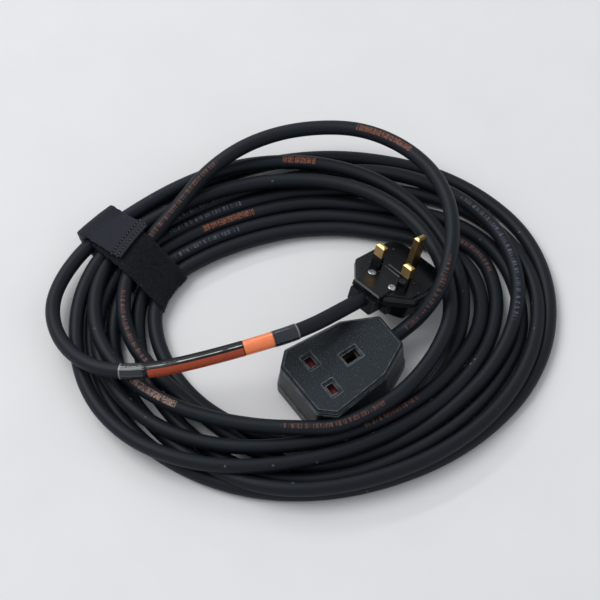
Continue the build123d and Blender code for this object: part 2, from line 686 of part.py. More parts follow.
def fuse_clip(start):
    """Sprung clip over one end of the fuse, open towards the back."""
    leg = FUSE_D / 2 + FIT / 2 + CLIP_SHEET / 2
    mouth = -FUSE_D / 2 + CLIP_SHEET
    bend = Polyline((FUSE_Y - leg, mouth), (FUSE_Y - leg, leg), (FUSE_Y + leg, leg), (FUSE_Y + leg, mouth))
    return Pos(start, 0, -FUSE_DROP) * extrude(Plane.YZ * trace(bend, CLIP_SHEET), CLIP_LONG)


def plug_live_pin():
    """Live pin, with the clip that takes one end of the fuse."""
    y = LINE_PITCH / 2
    start = fuse_ends()[0] + FIT
    clip_top = -FUSE_DROP + FUSE_D / 2 + FIT / 2 + CLIP_SHEET
    foot_x = (-PIN_THICK / 2, start + CLIP_LONG)
    foot = block(foot_x, span(y, LINE_PIN_WIDE / 2), (clip_top - CLIP_SHEET, PIN_TERMINAL_TOP + FIT))
    return bare_pin("live") + foot + fuse_clip(start)


def plug_live_terminal():
    """Terminal of the live core, with the clip that takes the fuse's other end."""
    start = fuse_ends()[1] - FIT - CLIP_LONG
    leg = FUSE_Y - FUSE_D / 2 - FIT / 2 - CLIP_SHEET
    along, across = LIVE_TERMINAL
    middle_x = start + along / 2
    middle_y = leg - across / 2 + CLIP_SHEET / 2
    low = PIN_TERMINAL_TOP - PIN_TERMINAL[2]
    body = block(span(middle_x, along), span(middle_y, across), (low, -BASE_PLATE - FIT))
    body -= lying_rod(span(middle_x, along + 2), middle_y, -NEUTRAL_WIRE_DROP, CORE_D / 2 + FIT)
    body -= rod(middle_x, middle_y, (low - 1, -NEUTRAL_WIRE_DROP), SCREW_D / 2 + FIT / 2)
    return body + fuse_clip(start)


def pin_sleeve(name):
    """Black insulating sleeve on the root of a line pin."""
    x, y, along, across, _ = pin_places()[name]
    sleeve = block(span(x, along), span(y, across), (0, SLEEVE_LONG))
    bore = SLEEVE_WALL - FIT / 2
    return sleeve - block(span(x, along - 2 * bore), span(y, across - 2 * bore), (-1, SLEEVE_LONG + 1))


def plug_fuse_body():
    """Ceramic barrel of the fuse."""
    ends = fuse_ends()
    inside = (ends[0] + FUSE_CAP_WALL + FIT, ends[1] - FUSE_CAP_WALL - FIT)
    return lying_rod(inside, FUSE_Y, -FUSE_DROP, FUSE_D / 2 - FUSE_CAP_WALL - FIT / 2)


def plug_fuse_caps():
    """Two metal end caps of the fuse."""
    low, high = fuse_ends()
    caps = []
    for end, way in ((low, 1), (high, -1)):
        outside = sorted((end, end + way * FUSE_CAP_LONG))
        inside = sorted((end + way * FUSE_CAP_WALL, end + way * 2 * FUSE_CAP_LONG))
        cap = lying_rod(outside, FUSE_Y, -FUSE_DROP, FUSE_D / 2)
        caps.append(cap - lying_rod(inside, FUSE_Y, -FUSE_DROP, FUSE_D / 2 - FUSE_CAP_WALL))
    return Compound(caps)


def plug_terminal_screws():
    """The three screws that hold the cores in the plug."""
    low = PIN_TERMINAL_TOP - PIN_TERMINAL[2]
    live_x = fuse_ends()[1] - FIT - CLIP_LONG + LIVE_TERMINAL[0] / 2
    live_y = FUSE_Y - FUSE_D / 2 - FIT / 2 - CLIP_SHEET / 2 - LIVE_TERMINAL[1] / 2
    places = [(EARTH_OFFSET, 0, PLUG_WIRE_DROP), (0, -LINE_PITCH / 2, NEUTRAL_WIRE_DROP)]
    places.append((live_x, live_y, NEUTRAL_WIRE_DROP))
    screws = []
    for x, y, drop in places:
        reach = -drop - CORE_D / 2 - FIT - low
        screws.append(Pos(x, y, low) * Rot(180, 0, 0) * screw(TERMINAL_HEAD, reach))
    return Compound(screws)


def plug_grip_bar():
    """Bar under the cord that the two grip screws pull up."""
    along, across, thick = GRIP_BAR
    top = -PLUG_CORD_DROP - CORD_D / 2 - FIT
    bar = block(span(GRIP_SCREW_X, along), span(0, across), (top - thick, top))
    bar = fillet(bar.edges().filter_by(Axis.Z), along * 0.25)
    for x, y in grip_screw_places():
        bar -= rod(x, y, (top - thick - 1, top + 1), SCREW_D / 2 + FIT / 2)
    return bar


def plug_grip_screws():
    """Two zinc-plated screws from the pin face, through the cord grip into the bar."""
    one = screw(GRIP_HEAD, GRIP_SCREW_LONG, crossed=True)
    return Compound([Pos(x, y, BOSS_RISE - GRIP_HEAD[1]) * one for x, y in grip_screw_places()])


def plug_earth_core():
    """Earth core, straight from the sheath into the earth pin's terminal."""
    terminal = EARTH_OFFSET - PIN_TERMINAL[0] / 2
    return lying_rod((PLUG_SHEATH_END + FIT, terminal + 2), 0, -PLUG_WIRE_DROP, CORE_D / 2)


def plug_neutral_core():
    """Neutral core, bent round into the neutral pin's terminal."""
    y = -LINE_PITCH / 2 + PIN_TERMINAL[1] / 2
    z = -NEUTRAL_WIRE_DROP
    start = -CORE_D - FIT
    return core([(PLUG_SHEATH_END + FIT, start, z), (0, start, z), (0, y - 2, z)])


def plug_live_core():
    """Live core, past the earth terminal to the far end of the fuse."""
    z = -NEUTRAL_WIRE_DROP
    start = fuse_ends()[1] - FIT - CLIP_LONG
    y = FUSE_Y - FUSE_D / 2 - FIT / 2 - CLIP_SHEET / 2 - LIVE_TERMINAL[1] / 2
    lead = PLUG_SHEATH_END + CORE_LEAD
    bend = (start - LIVE_CORE_RUN, y, z)
    return core([(PLUG_SHEATH_END + FIT, CORE_D + FIT, z), (lead, CORE_D + FIT, z), bend, (start + 2, y, z)])


# Cord
def plug_point(x, y, z):
    """A place in the plug's frame, in the model's frame."""
    return (plug_place * Pos(x, y, z)).position


def cord_route(points):
    """Cord path: straight runs, joined by arcs as large as the two runs at each corner allow."""
    points = [Vector(*p) for p in points]
    runs = [b - a for a, b in zip(points, points[1:])]
    radii = []
    for before, after in zip(runs, runs[1:]):
        half_turn = radians(before.get_angle(after)) / 2
        radii.append(0.45 * min(before.length, after.length) / tan(half_turn))
    print("radii", [round(r) for r in radii], "runs", [round(r.length) for r in runs])
    return FilletPolyline(*points, radius=radii)


def plug_end_path():
    """Route of the cord from inside the plug, over the coil's side and round to the tie."""
    inside = plug_point(PLUG_SHEATH_END, 0, -PLUG_CORD_DROP)
    lead = plug_point(-PLUG_END_LEAD, 0, -PLUG_CORD_DROP)
    return cord_route([inside, lead] + PLUG_END_ROUTE)


def socket_end_path():
    """Route of the cord from inside the socket, over the plug's corner and the coil, to the tie."""
    return cord_route([(sheath_x, 0, exit_z), (SOCKET_END_LEAD, 0, exit_z)] + SOCKET_END_ROUTE)


def cord_tube(path):
    """Plain round cord, with its volume printed beside its section times its length."""
    solid = tube(path, CORD_D / 2)
    expected = pi * CORD_D**2 / 4 * path.length
    print("volume", round(solid.volume), "of", round(expected), "length", round(path.length))
    return solid


def wrap(spread, inner, wall):
    """Thin tube round the plug's loose end between two distances along it."""
    path = plug_end_path()
    stretch = path.wire().trim(spread[0] / path.length, spread[1] / path.length)
    return tube(stretch, inner + wall, inner)


def label_radius():
    """Inner radius of the printed wraps."""
    return CORD_D / 2 + FIT / 2


def tie_place():
    """Frame of the tie: X across the turns and outwards, Y along them."""
    return Pos(*TIE_AT, 0) * Rot(0, 0, TIE_TURN + 90)


def tie_edges():
    """The tie's two edges, and a little more, along the turns."""
    return (TIE_WIDE / 2 + 1, -TIE_WIDE / 2 - 1)


def bundle(grow):
    """The squeezed turns under the tie, grown by the room that the tie needs."""
    low = TIE_SHEET + SLACK + CORD_D / 2
    sections = []
    for edge, y in enumerate(tie_edges()):
        middles = [
            (INNER_TURN[edge], low),
            (LOWER_TURN[edge], low),
            (OUTER_TURN[edge], low + OUTER_RISE[edge]),
            (UPPER_TURN[edge], low + UPPER_RISE[edge]),
        ]
        face = make_face(Polyline(*middles, close=True))
        outline = offset(face, CORD_D / 2 + grow, kind=Kind.ARC)
        sections.append(Plane(origin=(0, y, 0), x_dir=(1, 0, 0), z_dir=(0, -1, 0)) * outline)
    return loft(sections, ruled=True)


def cord_coil():
    """Outer shape of the coil's turns, narrowed where the tie squeezes them."""
    outer = Pos(*COIL_OUTER_AT) * Rot(0, 0, COIL_TURN) * Ellipse(*COIL_OUTER)
    inner = Pos(*COIL_INNER_AT) * Rot(0, 0, COIL_INNER_TURN) * Ellipse(*COIL_INNER)
    ring = extrude(outer - inner, COIL_HEIGHT)
    ring = chamfer(ring.edges().filter_by(GeomType.ELLIPSE), COIL_BEVEL)
    along = span(0, TIE_WIDE + 2)
    room = tie_place() * block((-COIL_OUTER[0] / 2, COIL_OUTER[0] / 2), along, (-1, 2 * COIL_HEIGHT))
    return ring - room + tie_place() * bundle(0)


def tie_flap():
    """The tie's fold at the bundle's outer side, and the tail that lies back across the top."""
    low = TIE_SHEET + SLACK + CORD_D / 2
    around = CORD_D / 2 + SLACK + TIE_SHEET / 2
    sections = []
    for edge, y in enumerate(tie_edges()):
        out = OUTER_TURN[edge] + around
        side = low + OUTER_RISE[edge]
        tail = side + around + TIE_SHEET + FIT
        upper = low + UPPER_RISE[edge] + around + TIE_SHEET + FIT
        slope = (upper - tail) / (OUTER_TURN[edge] - UPPER_TURN[edge])
        line = Polyline(
            (out, side),
            (out + TIE_FOLD, tail - TIE_SHEET),
            (out + TIE_FOLD, tail),
            (OUTER_TURN[edge], tail),
            (out - TIE_TAIL, tail + slope * (OUTER_TURN[edge] - out + TIE_TAIL)),
        )
        strip = trace(line, TIE_SHEET)
        sections.append(Plane(origin=(0, y, 0), x_dir=(1, 0, 0), z_dir=(0, -1, 0)) * strip)
    return loft(sections, ruled=True)


def cord_tie():
    """Hook-and-loop strap: round the turns, folded back at the outer side, sewn end on top."""
    band = bundle(SLACK + TIE_SHEET) + tie_flap() - bundle(SLACK)
    room = block((-COIL_OUTER[0] / 2, COIL_OUTER[0] / 2), span(0, TIE_WIDE), (-1, 3 * COIL_HEIGHT))
    return tie_place() * (band & room)


def in_plug_frame(piece):
    """A plug piece moved to where the plug lies."""
    return plug_place * piece


SOCKET_PIECES = {
    "socket_top_shell": socket_top_shell,
    "socket_base": socket_base,
    "socket_carrier": socket_carrier,
    "socket_shutter": socket_shutter,
    "shutter_spring": shutter_spring,
    "socket_live_contact": lambda: line_contact(line_places()["live"]),
    "socket_neutral_contact": lambda: line_contact(line_places()["neutral"]),
    "socket_earth_contact": earth_contact,
    "socket_terminal_screws": socket_terminal_screws,
    "socket_cord_clamp": socket_cord_clamp,
    "socket_clamp_screws": socket_clamp_screws,
    "socket_case_screws": socket_case_screws,
    "socket_live_core": lambda: socket_line_core(line_places()["live"]),
    "socket_neutral_core": lambda: socket_line_core(line_places()["neutral"]),
    "socket_earth_core": socket_earth_core,
}
PLUG_PIECES = {
    "plug_cover": plug_cover,
    "plug_base": plug_base,
    "plug_earth_pin": plug_earth_pin,
    "plug_live_pin": plug_live_pin,
    "plug_neutral_pin": plug_neutral_pin,
    "plug_live_sleeve": lambda: pin_sleeve("live"),
    "plug_neutral_sleeve": lambda: pin_sleeve("neutral"),
    "plug_live_terminal": plug_live_terminal,
    "plug_fuse_body": plug_fuse_body,
    "plug_fuse_caps": plug_fuse_caps,
    "plug_terminal_screws": plug_terminal_screws,
    "plug_grip_bar": plug_grip_bar,
    "plug_grip_screws": plug_grip_screws,
    "plug_earth_core": plug_earth_core,
    "plug_neutral_core": plug_neutral_core,
    "plug_live_core": plug_live_core,
}
CORD_PIECES = {
    "cord_coil": cord_coil,
    "cord_plug_end": lambda: cord_tube(plug_end_path()),
    "cord_socket_end": lambda: cord_tube(socket_end_path()),
    "label_wrap": lambda: wrap(LABEL_SPAN, label_radius(), WRAP_WALL),
    "label_band": lambda: wrap(BAND_SPAN, label_radius(), WRAP_WALL),
    "label_sleeve": lambda: wrap(SLEEVE_SPAN, label_radius() + WRAP_WALL + FIT / 2, SLEEVE_TUBE_WALL),
    "cord_tie": cord_tie,
}

os.makedirs("parts", exist_ok=True)
for node, make in SOCKET_PIECES.items():
    export_step(make(), f"parts/{node}.step")
for node, make in PLUG_PIECES.items():
    export_step(in_plug_frame(make()), f"parts/{node}.step")
for node, make in CORD_PIECES.items():
    export_step(make(), f"parts/{node}.step")
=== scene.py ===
# %% [markdown]
# # A coiled extension lead
# One trailing socket, one fused plug and about six metres of rubber cord, wound by hand into
# eight loose turns and held with a hook-and-loop strap. The hard parts arrive as solids.
# Here the cord gets its real turns, the strap gets its cloth, and everything gets its surface.

# %% Load the solids
import json
from math import radians

import bpy
import numpy as np
from mathutils import Matrix, Vector


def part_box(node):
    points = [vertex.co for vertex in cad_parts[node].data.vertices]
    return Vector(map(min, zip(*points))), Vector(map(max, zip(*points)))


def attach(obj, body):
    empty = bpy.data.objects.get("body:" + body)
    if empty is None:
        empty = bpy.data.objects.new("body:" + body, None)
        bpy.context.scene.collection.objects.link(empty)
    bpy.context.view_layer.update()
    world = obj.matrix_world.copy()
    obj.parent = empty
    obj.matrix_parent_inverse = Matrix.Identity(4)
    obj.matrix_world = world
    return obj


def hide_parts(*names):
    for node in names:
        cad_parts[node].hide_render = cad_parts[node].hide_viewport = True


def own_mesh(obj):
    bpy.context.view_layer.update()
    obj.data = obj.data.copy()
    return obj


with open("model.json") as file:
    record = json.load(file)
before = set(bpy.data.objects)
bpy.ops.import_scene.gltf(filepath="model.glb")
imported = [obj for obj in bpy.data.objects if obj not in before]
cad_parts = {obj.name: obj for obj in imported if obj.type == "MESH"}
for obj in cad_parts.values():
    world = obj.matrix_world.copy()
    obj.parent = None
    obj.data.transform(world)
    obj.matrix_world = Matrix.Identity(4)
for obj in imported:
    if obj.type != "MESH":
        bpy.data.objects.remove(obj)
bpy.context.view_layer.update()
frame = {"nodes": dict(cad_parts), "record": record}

MM = 0.001
nodes = frame["nodes"]

# %% [markdown]
# ## Small helpers
# Every surface below is a little tree of nodes. Two helpers keep those cells short: one adds
# a node with its settings and plain socket values, the other links sockets. The rest start a
# material, mix two colours, lay noise over a piece, and put new pieces in the scene.

# %% Node helpers
def add(tree, kind, values=None, **settings):
    made = tree.nodes.new(kind)
    for name, value in settings.items():
        setattr(made, name, value)
    for name, value in (values or {}).items():
        made.inputs[name].default_value = value
    return made


def join(tree, *links):
    """Each link is (node, output, node, input), or the two sockets themselves."""
    for link in links:
        if len(link) == 4:
            link = (link[0].outputs[link[1]], link[2].inputs[link[3]])
        tree.links.new(*link)


def calc(tree, operation, values=None):
    return add(tree, "ShaderNodeMath", values, operation=operation)


def ramp(tree, start, end, to=(0.0, 1.0)):
    """As a value goes from start to end, the result goes through the other span."""
    return add(tree, "ShaderNodeMapRange",
               {"From Min": start, "From Max": end, "To Min": to[0], "To Max": to[1]})


def start_material(name, values):
    made = bpy.data.materials.new(name)
    made.use_nodes = True
    skin = made.node_tree.nodes["Principled BSDF"]
    for key, value in values.items():
        skin.inputs[key].default_value = value
    return made, made.node_tree, skin


# %% Surface helpers
def mix_colour(tree, mask, under, over):
    made = add(tree, "ShaderNodeMix", data_type="RGBA")
    join(tree, (mask, made.inputs["Factor"]))
    for slot, colour in (("A", under), ("B", over)):
        if isinstance(colour, tuple):
            made.inputs[slot].default_value = (*colour, 1)
        else:
            join(tree, (colour, made.inputs[slot]))
    return made.outputs["Result"]


def noise(tree, scale, detail=2.0, roughness=0.5):
    """Noise on the piece's own coordinates."""
    where = add(tree, "ShaderNodeTexCoord")
    made = add(tree, "ShaderNodeTexNoise", {"Scale": scale, "Detail": detail, "Roughness": roughness})
    join(tree, (where, "Object", made, "Vector"))
    return made.outputs["Fac"]


def mottle(tree, skin, dark, light, **look):
    """Colour a surface with noise between two tones."""
    join(tree, (mix_colour(tree, noise(tree, **look), dark, light), skin.inputs["Base Color"]))


def bump(tree, skin, height, strength, distance):
    made = add(tree, "ShaderNodeBump", {"Strength": strength, "Distance": distance})
    join(tree, (height, made.inputs["Height"]), (made, "Normal", skin, "Normal"))


# %% Piece helpers
def put(name, data):
    made = bpy.data.objects.new(name, data)
    bpy.context.scene.collection.objects.link(made)
    return made


def new_mesh(name, points, edges=(), faces=()):
    made = bpy.data.meshes.new(name)
    made.from_pydata([tuple(p) for p in points], list(edges), list(faces))
    return made


def as_mesh(holder):
    """The object's mesh with its modifiers applied. The object itself goes."""
    bpy.context.view_layer.update()
    seen = holder.evaluated_get(bpy.context.evaluated_depsgraph_get())
    mesh = bpy.data.meshes.new_from_object(seen)
    bpy.data.objects.remove(holder)
    return mesh


# %% [markdown]
# ## The camera
# The three apertures of the socket have standard spacings, so they tell where the camera
# stood: high up and in front, with a long lens. The lead fills most of a square picture.

# %% Camera
CAMERA_AT = Vector((-0.35752, -0.44558, 1.08824))
CAMERA_RIGHT = Vector((0.8088, -0.5880, 0.0))
CAMERA_UP = Vector((0.5093, 0.7004, 0.5))
CAMERA_BACK = Vector((-0.2940, -0.4044, 0.8660))
SENSOR_WIDTH = 36.0
LENS_LENGTH = 120.96

lens = bpy.data.cameras.new("camera")
lens.sensor_width = SENSOR_WIDTH
lens.lens = LENS_LENGTH
camera = put("camera", lens)
turn = Matrix((CAMERA_RIGHT, CAMERA_UP, CAMERA_BACK)).transposed()
camera.matrix_world = Matrix.Translation(CAMERA_AT) @ turn.to_4x4()
bpy.context.scene.camera = camera
bpy.context.scene.view_settings.view_transform = "Standard"
print("camera looks along", [round(-c, 3) for c in CAMERA_BACK])

# %% [markdown]
# ## Floor and light
# The lead lies on a pale grey sheet under a big soft light from behind and to the left, so
# its shadows are short and fall towards the viewer's right. A narrow strip light beside it
# draws thin bright streaks on whatever is glossy. The sheet is very slightly uneven.

# %% Floor
FLOOR_HALF = 6.0
SHEET_DARK = (0.690, 0.695, 0.712)
SHEET_LIGHT = (0.765, 0.767, 0.778)

corners = [(x * FLOOR_HALF, y * FLOOR_HALF, 0.0) for x, y in ((-1, -1), (1, -1), (1, 1), (-1, 1))]
floor = put("floor", new_mesh("floor", corners, faces=[(0, 1, 2, 3)]))
paper, tree, skin = start_material("pale_sheet", {"Roughness": 0.62})
mottle(tree, skin, SHEET_DARK, SHEET_LIGHT, scale=14.0, detail=8.0, roughness=0.62)
floor.data.materials.append(paper)

# %% Light
SKY_COLOUR = (0.94, 0.97, 1.0, 1)
SKY_STRENGTH = 0.60
LAMP_COLOUR = (1.0, 0.985, 0.965)
LAMP_AIM = Vector((0.0, 0.03, 0.0))
LAMPS = {
    "window": {"at": (-1.20, 1.92, 3.52), "wide": 2.9, "tall": 2.1, "power": 84.0},
    "strip": {"at": (0.16, 2.43, 1.82), "wide": 2.1, "tall": 0.16, "power": 14.0},
}

world = bpy.data.worlds.new("studio")
bpy.context.scene.world = world
world.use_nodes = True
sky = world.node_tree.nodes["Background"]
sky.inputs["Color"].default_value = SKY_COLOUR
sky.inputs["Strength"].default_value = SKY_STRENGTH
for name, sizes in LAMPS.items():
    light = bpy.data.lights.new(name, "AREA")
    light.shape = "RECTANGLE"
    light.size = sizes["wide"]
    light.size_y = sizes["tall"]
    light.energy = sizes["power"]
    light.color = LAMP_COLOUR
    lamp = put(name, light)
    at = Vector(sizes["at"])
    aim = (LAMP_AIM - at).to_track_quat("-Z", "Y")
    lamp.matrix_world = Matrix.Translation(at) @ aim.to_matrix().to_4x4()
    print(name, "light", round((LAMP_AIM - at).length, 2), "m away")

# %% [markdown]
# ## The cord's route
# The cord is wound loosely, so no two turns lie in the same lane, and they cross each other.
# The coil's two edges are ovals. The table gives each turn twenty-four stations: how far it
# lies from the outer edge (0) towards the inner one (1), and how high its middle is. The
# lanes were traced by eye. Another program then settled them on each other and wrote the
# table, and some of its numbers were changed by hand, so they follow no rule to be read here.

# %% Turns of the coil
COIL_MIDDLE = np.array((8.2, 44.7))
OUTER_EDGE = {"middle": (12.1, 43.3), "half": (150.6, 119.8), "turned": -22.8}
INNER_EDGE = {"middle": (4.3, 46.1), "half": (92.8, 70.0), "turned": -25.8}
STRAP_AZIMUTH = 123.6
STATION_STEP = 15.0
SHARES = [
    [0.4, 0.5, 0.66, 0.83, 0.86, 0.74, 0.57, 0.41, 0.41, 0.44, 0.46, 0.48,
     0.46, 0.42, 0.36, 0.31, 0.28, 0.25, 0.24, 0.29, 0.32, 0.34, 0.34, 0.28],
    [0.15, 0.11, 0.16, 0.165, 0.14, 0.1, 0.06, 0.045, 0.045, 0.055, 0.05, 0.05,
     0.045, 0.06, 0.07, 0.06, 0.07, 0.06, 0.06, 0.04, 0.03, 0.03, 0.03, 0.02],
    [0.08, 0.14, 0.28, 0.49, 0.66, 0.76, 0.79, 0.78, 0.72, 0.8, 0.87, 0.95,
     1.01, 1.03, 1.06, 1.01, 0.9, 0.77, 0.64, 0.54, 0.46, 0.37, 0.28, 0.2],
    [-0.01, -0.04, -0.01, -0.03, 0.01, 0.12, 0.25, 0.38, 0.47, 0.54, 0.6, 0.62,
     0.62, 0.6, 0.57, 0.55, 0.7, 0.83, 0.88, 0.89, 0.9, 0.9, 0.88, 0.82],
    [0.69, 0.7, 0.77, 0.71, 0.62, 0.46, 0.3, 0.22, 0.22, 0.26, 0.29, 0.31,
     0.33, 0.32, 0.37, 0.4, 0.5, 0.64, 0.71, 0.7, 0.7, 0.71, 0.69, 0.61],
    [0.48, 0.43, 0.44, 0.43, 0.37, 0.25, 0.1, 0.025, 0.035, 0.055, 0.075, 0.1,
     0.14, 0.175, 0.19, 0.23, 0.29, 0.38, 0.48, 0.53, 0.52, 0.53, 0.51, 0.44],
    [0.3, 0.24, 0.24, 0.28, 0.34, 0.44, 0.54, 0.63, 0.68, 0.73, 0.77, 0.78,
     0.79, 0.74, 0.72, 0.73, 0.88, 1.0, 1.04, 1.07, 1.08, 1.09, 1.08, 1.03],
    [0.92, 0.91, 1.0, 1.03, 0.97, 0.89, 0.8, 0.74, 0.69, 0.75, 0.81, 0.86,
     0.9, 0.92, 0.9, 0.84, 0.72, 0.56, 0.41, 0.28, 0.16, 0.06, 0.01, -0.05],
]
HEIGHTS = [
    [14.9, 15.0, 13.7, 12.2, 10.3, 8.3, 5.7, 5.2, 4.9, 5.1, 6.3, 7.8,
     9.7, 11.5, 13.3, 12.7, 12.3, 10.2, 8.4, 6.7, 6.3, 5.9, 5.8, 5.9],
    [6.4, 5.5, 4.7, 4.7, 4.6, 4.6, 4.6, 4.6, 4.6, 4.6, 4.6, 4.6,
     4.6, 4.7, 4.7, 4.7, 4.8, 5.0, 5.2, 5.5, 6.0, 6.6, 7.3, 8.6],
    [11.8, 14.5, 16.9, 17.2, 17.8, 18.6, 19.6, 20.9, 22.4, 21.9, 21.6, 21.6,
     21.9, 22.9, 24.3, 22.6, 21.3, 19.8, 18.4, 17.2, 16.2, 15.3, 14.6, 14.4],
    [14.4, 13.2, 11.9, 12.9, 14.2, 15.6, 15.9, 15.0, 13.4, 12.3, 10.3, 8.9,
     7.8, 6.8, 6.0, 5.4, 4.8, 4.8, 4.8, 4.9, 5.0, 5.2, 5.5, 5.9],
    [6.4, 6.2, 5.3, 4.7, 4.7, 4.7, 4.7, 4.6, 4.6, 4.7, 4.7, 4.7,
     4.7, 4.6, 4.6, 4.6, 4.7, 4.7, 4.8, 5.0, 5.3, 5.5, 5.8, 6.0],
    [6.4, 6.0, 5.4, 5.0, 5.0, 6.2, 10.0, 12.4, 12.9, 12.9, 12.5, 12.2,
     11.0, 9.3, 6.9, 5.3, 4.6, 4.7, 4.7, 4.9, 5.1, 5.4, 5.7, 6.2],
    [6.7, 8.2, 11.0, 12.0, 13.1, 13.5, 14.5, 13.7, 13.5, 13.3, 13.0, 12.1,
     10.4, 8.7, 7.2, 5.9, 5.2, 4.9, 4.9, 5.0, 5.1, 5.3, 5.6, 5.9],
    [6.4, 6.4, 5.7, 5.2, 4.8, 4.6, 4.6, 4.6, 4.6, 4.6, 4.9, 5.4,
     6.6, 8.3, 10.2, 12.0, 13.5, 14.2, 14.8, 15.6, 15.4, 15.3, 15.4, 15.5],
]
LAST_STATION = (-0.222, 14.5)


def edge_radius(edge, azimuth):
    tilt = np.radians(edge["turned"])
    way = np.stack([np.cos(azimuth - tilt), np.sin(azimuth - tilt)], -1)
    off = COIL_MIDDLE - edge["middle"]
    start = np.array((off[0] * np.cos(tilt) + off[1] * np.sin(tilt),
                      off[1] * np.cos(tilt) - off[0] * np.sin(tilt)))
    half = np.array(edge["half"])
    a = ((way / half) ** 2).sum(-1)
    b = (way * start / half ** 2).sum(-1)
    c = ((start / half) ** 2).sum() - 1
    return (-b + np.sqrt(b * b - a * c)) / a


shares = np.append(np.ravel(SHARES), LAST_STATION[0])
heights = np.append(np.ravel(HEIGHTS), LAST_STATION[1])
azimuths = np.radians(STRAP_AZIMUTH + STATION_STEP * np.arange(len(shares)))
reach = edge_radius(OUTER_EDGE, azimuths)
reach += (edge_radius(INNER_EDGE, azimuths) - reach) * shares
coil_points = np.stack([COIL_MIDDLE[0] + reach * np.cos(azimuths),
                        COIL_MIDDLE[1] + reach * np.sin(azimuths), heights], -1)
print("coil stations:", len(coil_points))

# %% [markdown]
# ## One spline for the whole cord
# The loose ends join the coil into a single open curve from the socket to the plug. A smooth
# spline with a few points per turn bends the way rubber cord does, without corners to round.

# %% Cord spline
CORD_DIAMETER = 9.2 * MM
SPLINE_STEPS = 12
SOCKET_END = [
    (22, 0, 16.5), (32, 0, 16.5), (43, 0.4, 17), (53.5, -0.2, 21.5), (63.5, 0, 29.4),
    (74.3, 3.1, 36.9), (87.2, 12, 42.3), (101.2, 26, 43.9), (114, 46.7, 42.7), (120.5, 72.5, 39.7),
    (118, 100, 36), (106, 125, 34), (86.5, 143, 32), (62.5, 156, 30.5), (36, 162, 29),
    (9, 160.5, 26), (-16, 153.5, 20.5),
]
PLUG_END = [
    (-101, 157, 13.5), (-120, 141.5, 15), (-129, 118.5, 18), (-127, 92.5, 23), (-114, 71.5, 29),
    (-93, 56, 35), (-68, 43.5, 40), (-41, 32, 44.5), (-12, 23.5, 45), (19.4, 24, 38.33),
    (48.51, 28.04, 25.67),
]
route = np.concatenate([SOCKET_END, coil_points, PLUG_END]) * MM

curve = bpy.data.curves.new("cord_route", "CURVE")
curve.dimensions = "3D"
curve.resolution_u = SPLINE_STEPS
spline = curve.splines.new("NURBS")
spline.points.add(len(route) - 1)
for point, at in zip(spline.points, route):
    point.co = (*at, 1.0)
spline.order_u = 3
spline.use_endpoint_u = True
path_mesh = as_mesh(put("cord_route", curve))
path = np.array([vertex.co for vertex in path_mesh.vertices])
along = np.append(0.0, np.cumsum(np.linalg.norm(np.diff(path, axis=0), axis=1)))
print("cord length", round(along[-1], 3), "m in", len(path), "steps")

# %% [markdown]
# ## Tools made of nodes
# Some shapes follow a line or repeat all over a cloth. For each there is a geometry tool, a
# tree of nodes with named inputs. The helpers here start a tool, end it by making its copies
# real and giving them their material, and run it on a mesh.

# %% Tool helpers
def new_group(name, kind, inputs, outputs):
    """An empty node group. Each socket has a name and says what it carries."""
    tree = bpy.data.node_groups.new(name, kind)
    for way, sockets in (("INPUT", inputs), ("OUTPUT", outputs)):
        for label, carries in sockets.items():
            tree.interface.new_socket(label, in_out=way, socket_type="NodeSocket" + carries)
    return tree, add(tree, "NodeGroupInput"), add(tree, "NodeGroupOutput")


def start_tool(name, inputs):
    shape = {"Geometry": "Geometry"}
    return new_group(name, "GeometryNodeTree", {**shape, **inputs, "Material": "Material"}, shape)


def end_tool(tree, given, result, geometry):
    real = add(tree, "GeometryNodeRealizeInstances")
    paint = add(tree, "GeometryNodeSetMaterial")
    join(tree,
         (geometry, real.inputs["Geometry"]),
         (real, "Geometry", paint, "Geometry"),
         (given, "Material", paint, "Material"),
         (paint, "Geometry", result, "Geometry"))


def grow(name, base_mesh, tool, **values):
    holder = put(name + "_base", base_mesh)
    modifier = holder.modifiers.new("grow", "NODES")
    modifier.node_group = tool
    ids = {item.name: item.identifier for item in tool.interface.items_tree if item.in_out == "INPUT"}
    for key, value in values.items():
        modifier[ids[key.capitalize()]] = value
    made = put(name, as_mesh(holder))
    print(name, len(made.data.polygons), "faces")
    return made


# %% [markdown]
# ## Tubes that follow the cord
# The cord, the printed label and its clear sleeve are all tubes on the same line. One tool
# sweeps a circle along it and stores how far along each ring is, so that a surface can put a
# mark at a measured place.

# %% Tube maker
tube_maker, given, result = start_tool(
    "Tube along a line", {"Radius": "Float", "Sides": "Int", "Start": "Float"})
line = add(tube_maker, "GeometryNodeMeshToCurve")
parameter = add(tube_maker, "GeometryNodeSplineParameter")
measured = calc(tube_maker, "ADD")
store = add(tube_maker, "GeometryNodeStoreNamedAttribute", {"Name": "along"},
            data_type="FLOAT", domain="POINT")
ring = add(tube_maker, "GeometryNodeCurvePrimitiveCircle")
swept = add(tube_maker, "GeometryNodeCurveToMesh", {"Fill Caps": True})
smooth = add(tube_maker, "GeometryNodeSetShadeSmooth")
join(tube_maker,
     (given, "Geometry", line, "Mesh"),
     (parameter, "Length", measured, 0),
     (given, "Start", measured, 1),
     (line, "Curve", store, "Geometry"),
     (measured, "Value", store, "Value"),
     (given, "Sides", ring, "Resolution"),
     (given, "Radius", ring, "Radius"),
     (store, "Geometry", swept, "Curve"),
     (ring, "Curve", swept, "Profile Curve"),
     (swept, "Mesh", smooth, "Geometry"))
end_tool(tube_maker, given, result, smooth.outputs["Geometry"])


def line_mesh(name, points):
    return new_mesh(name, points, edges=[(i, i + 1) for i in range(len(points) - 1)])
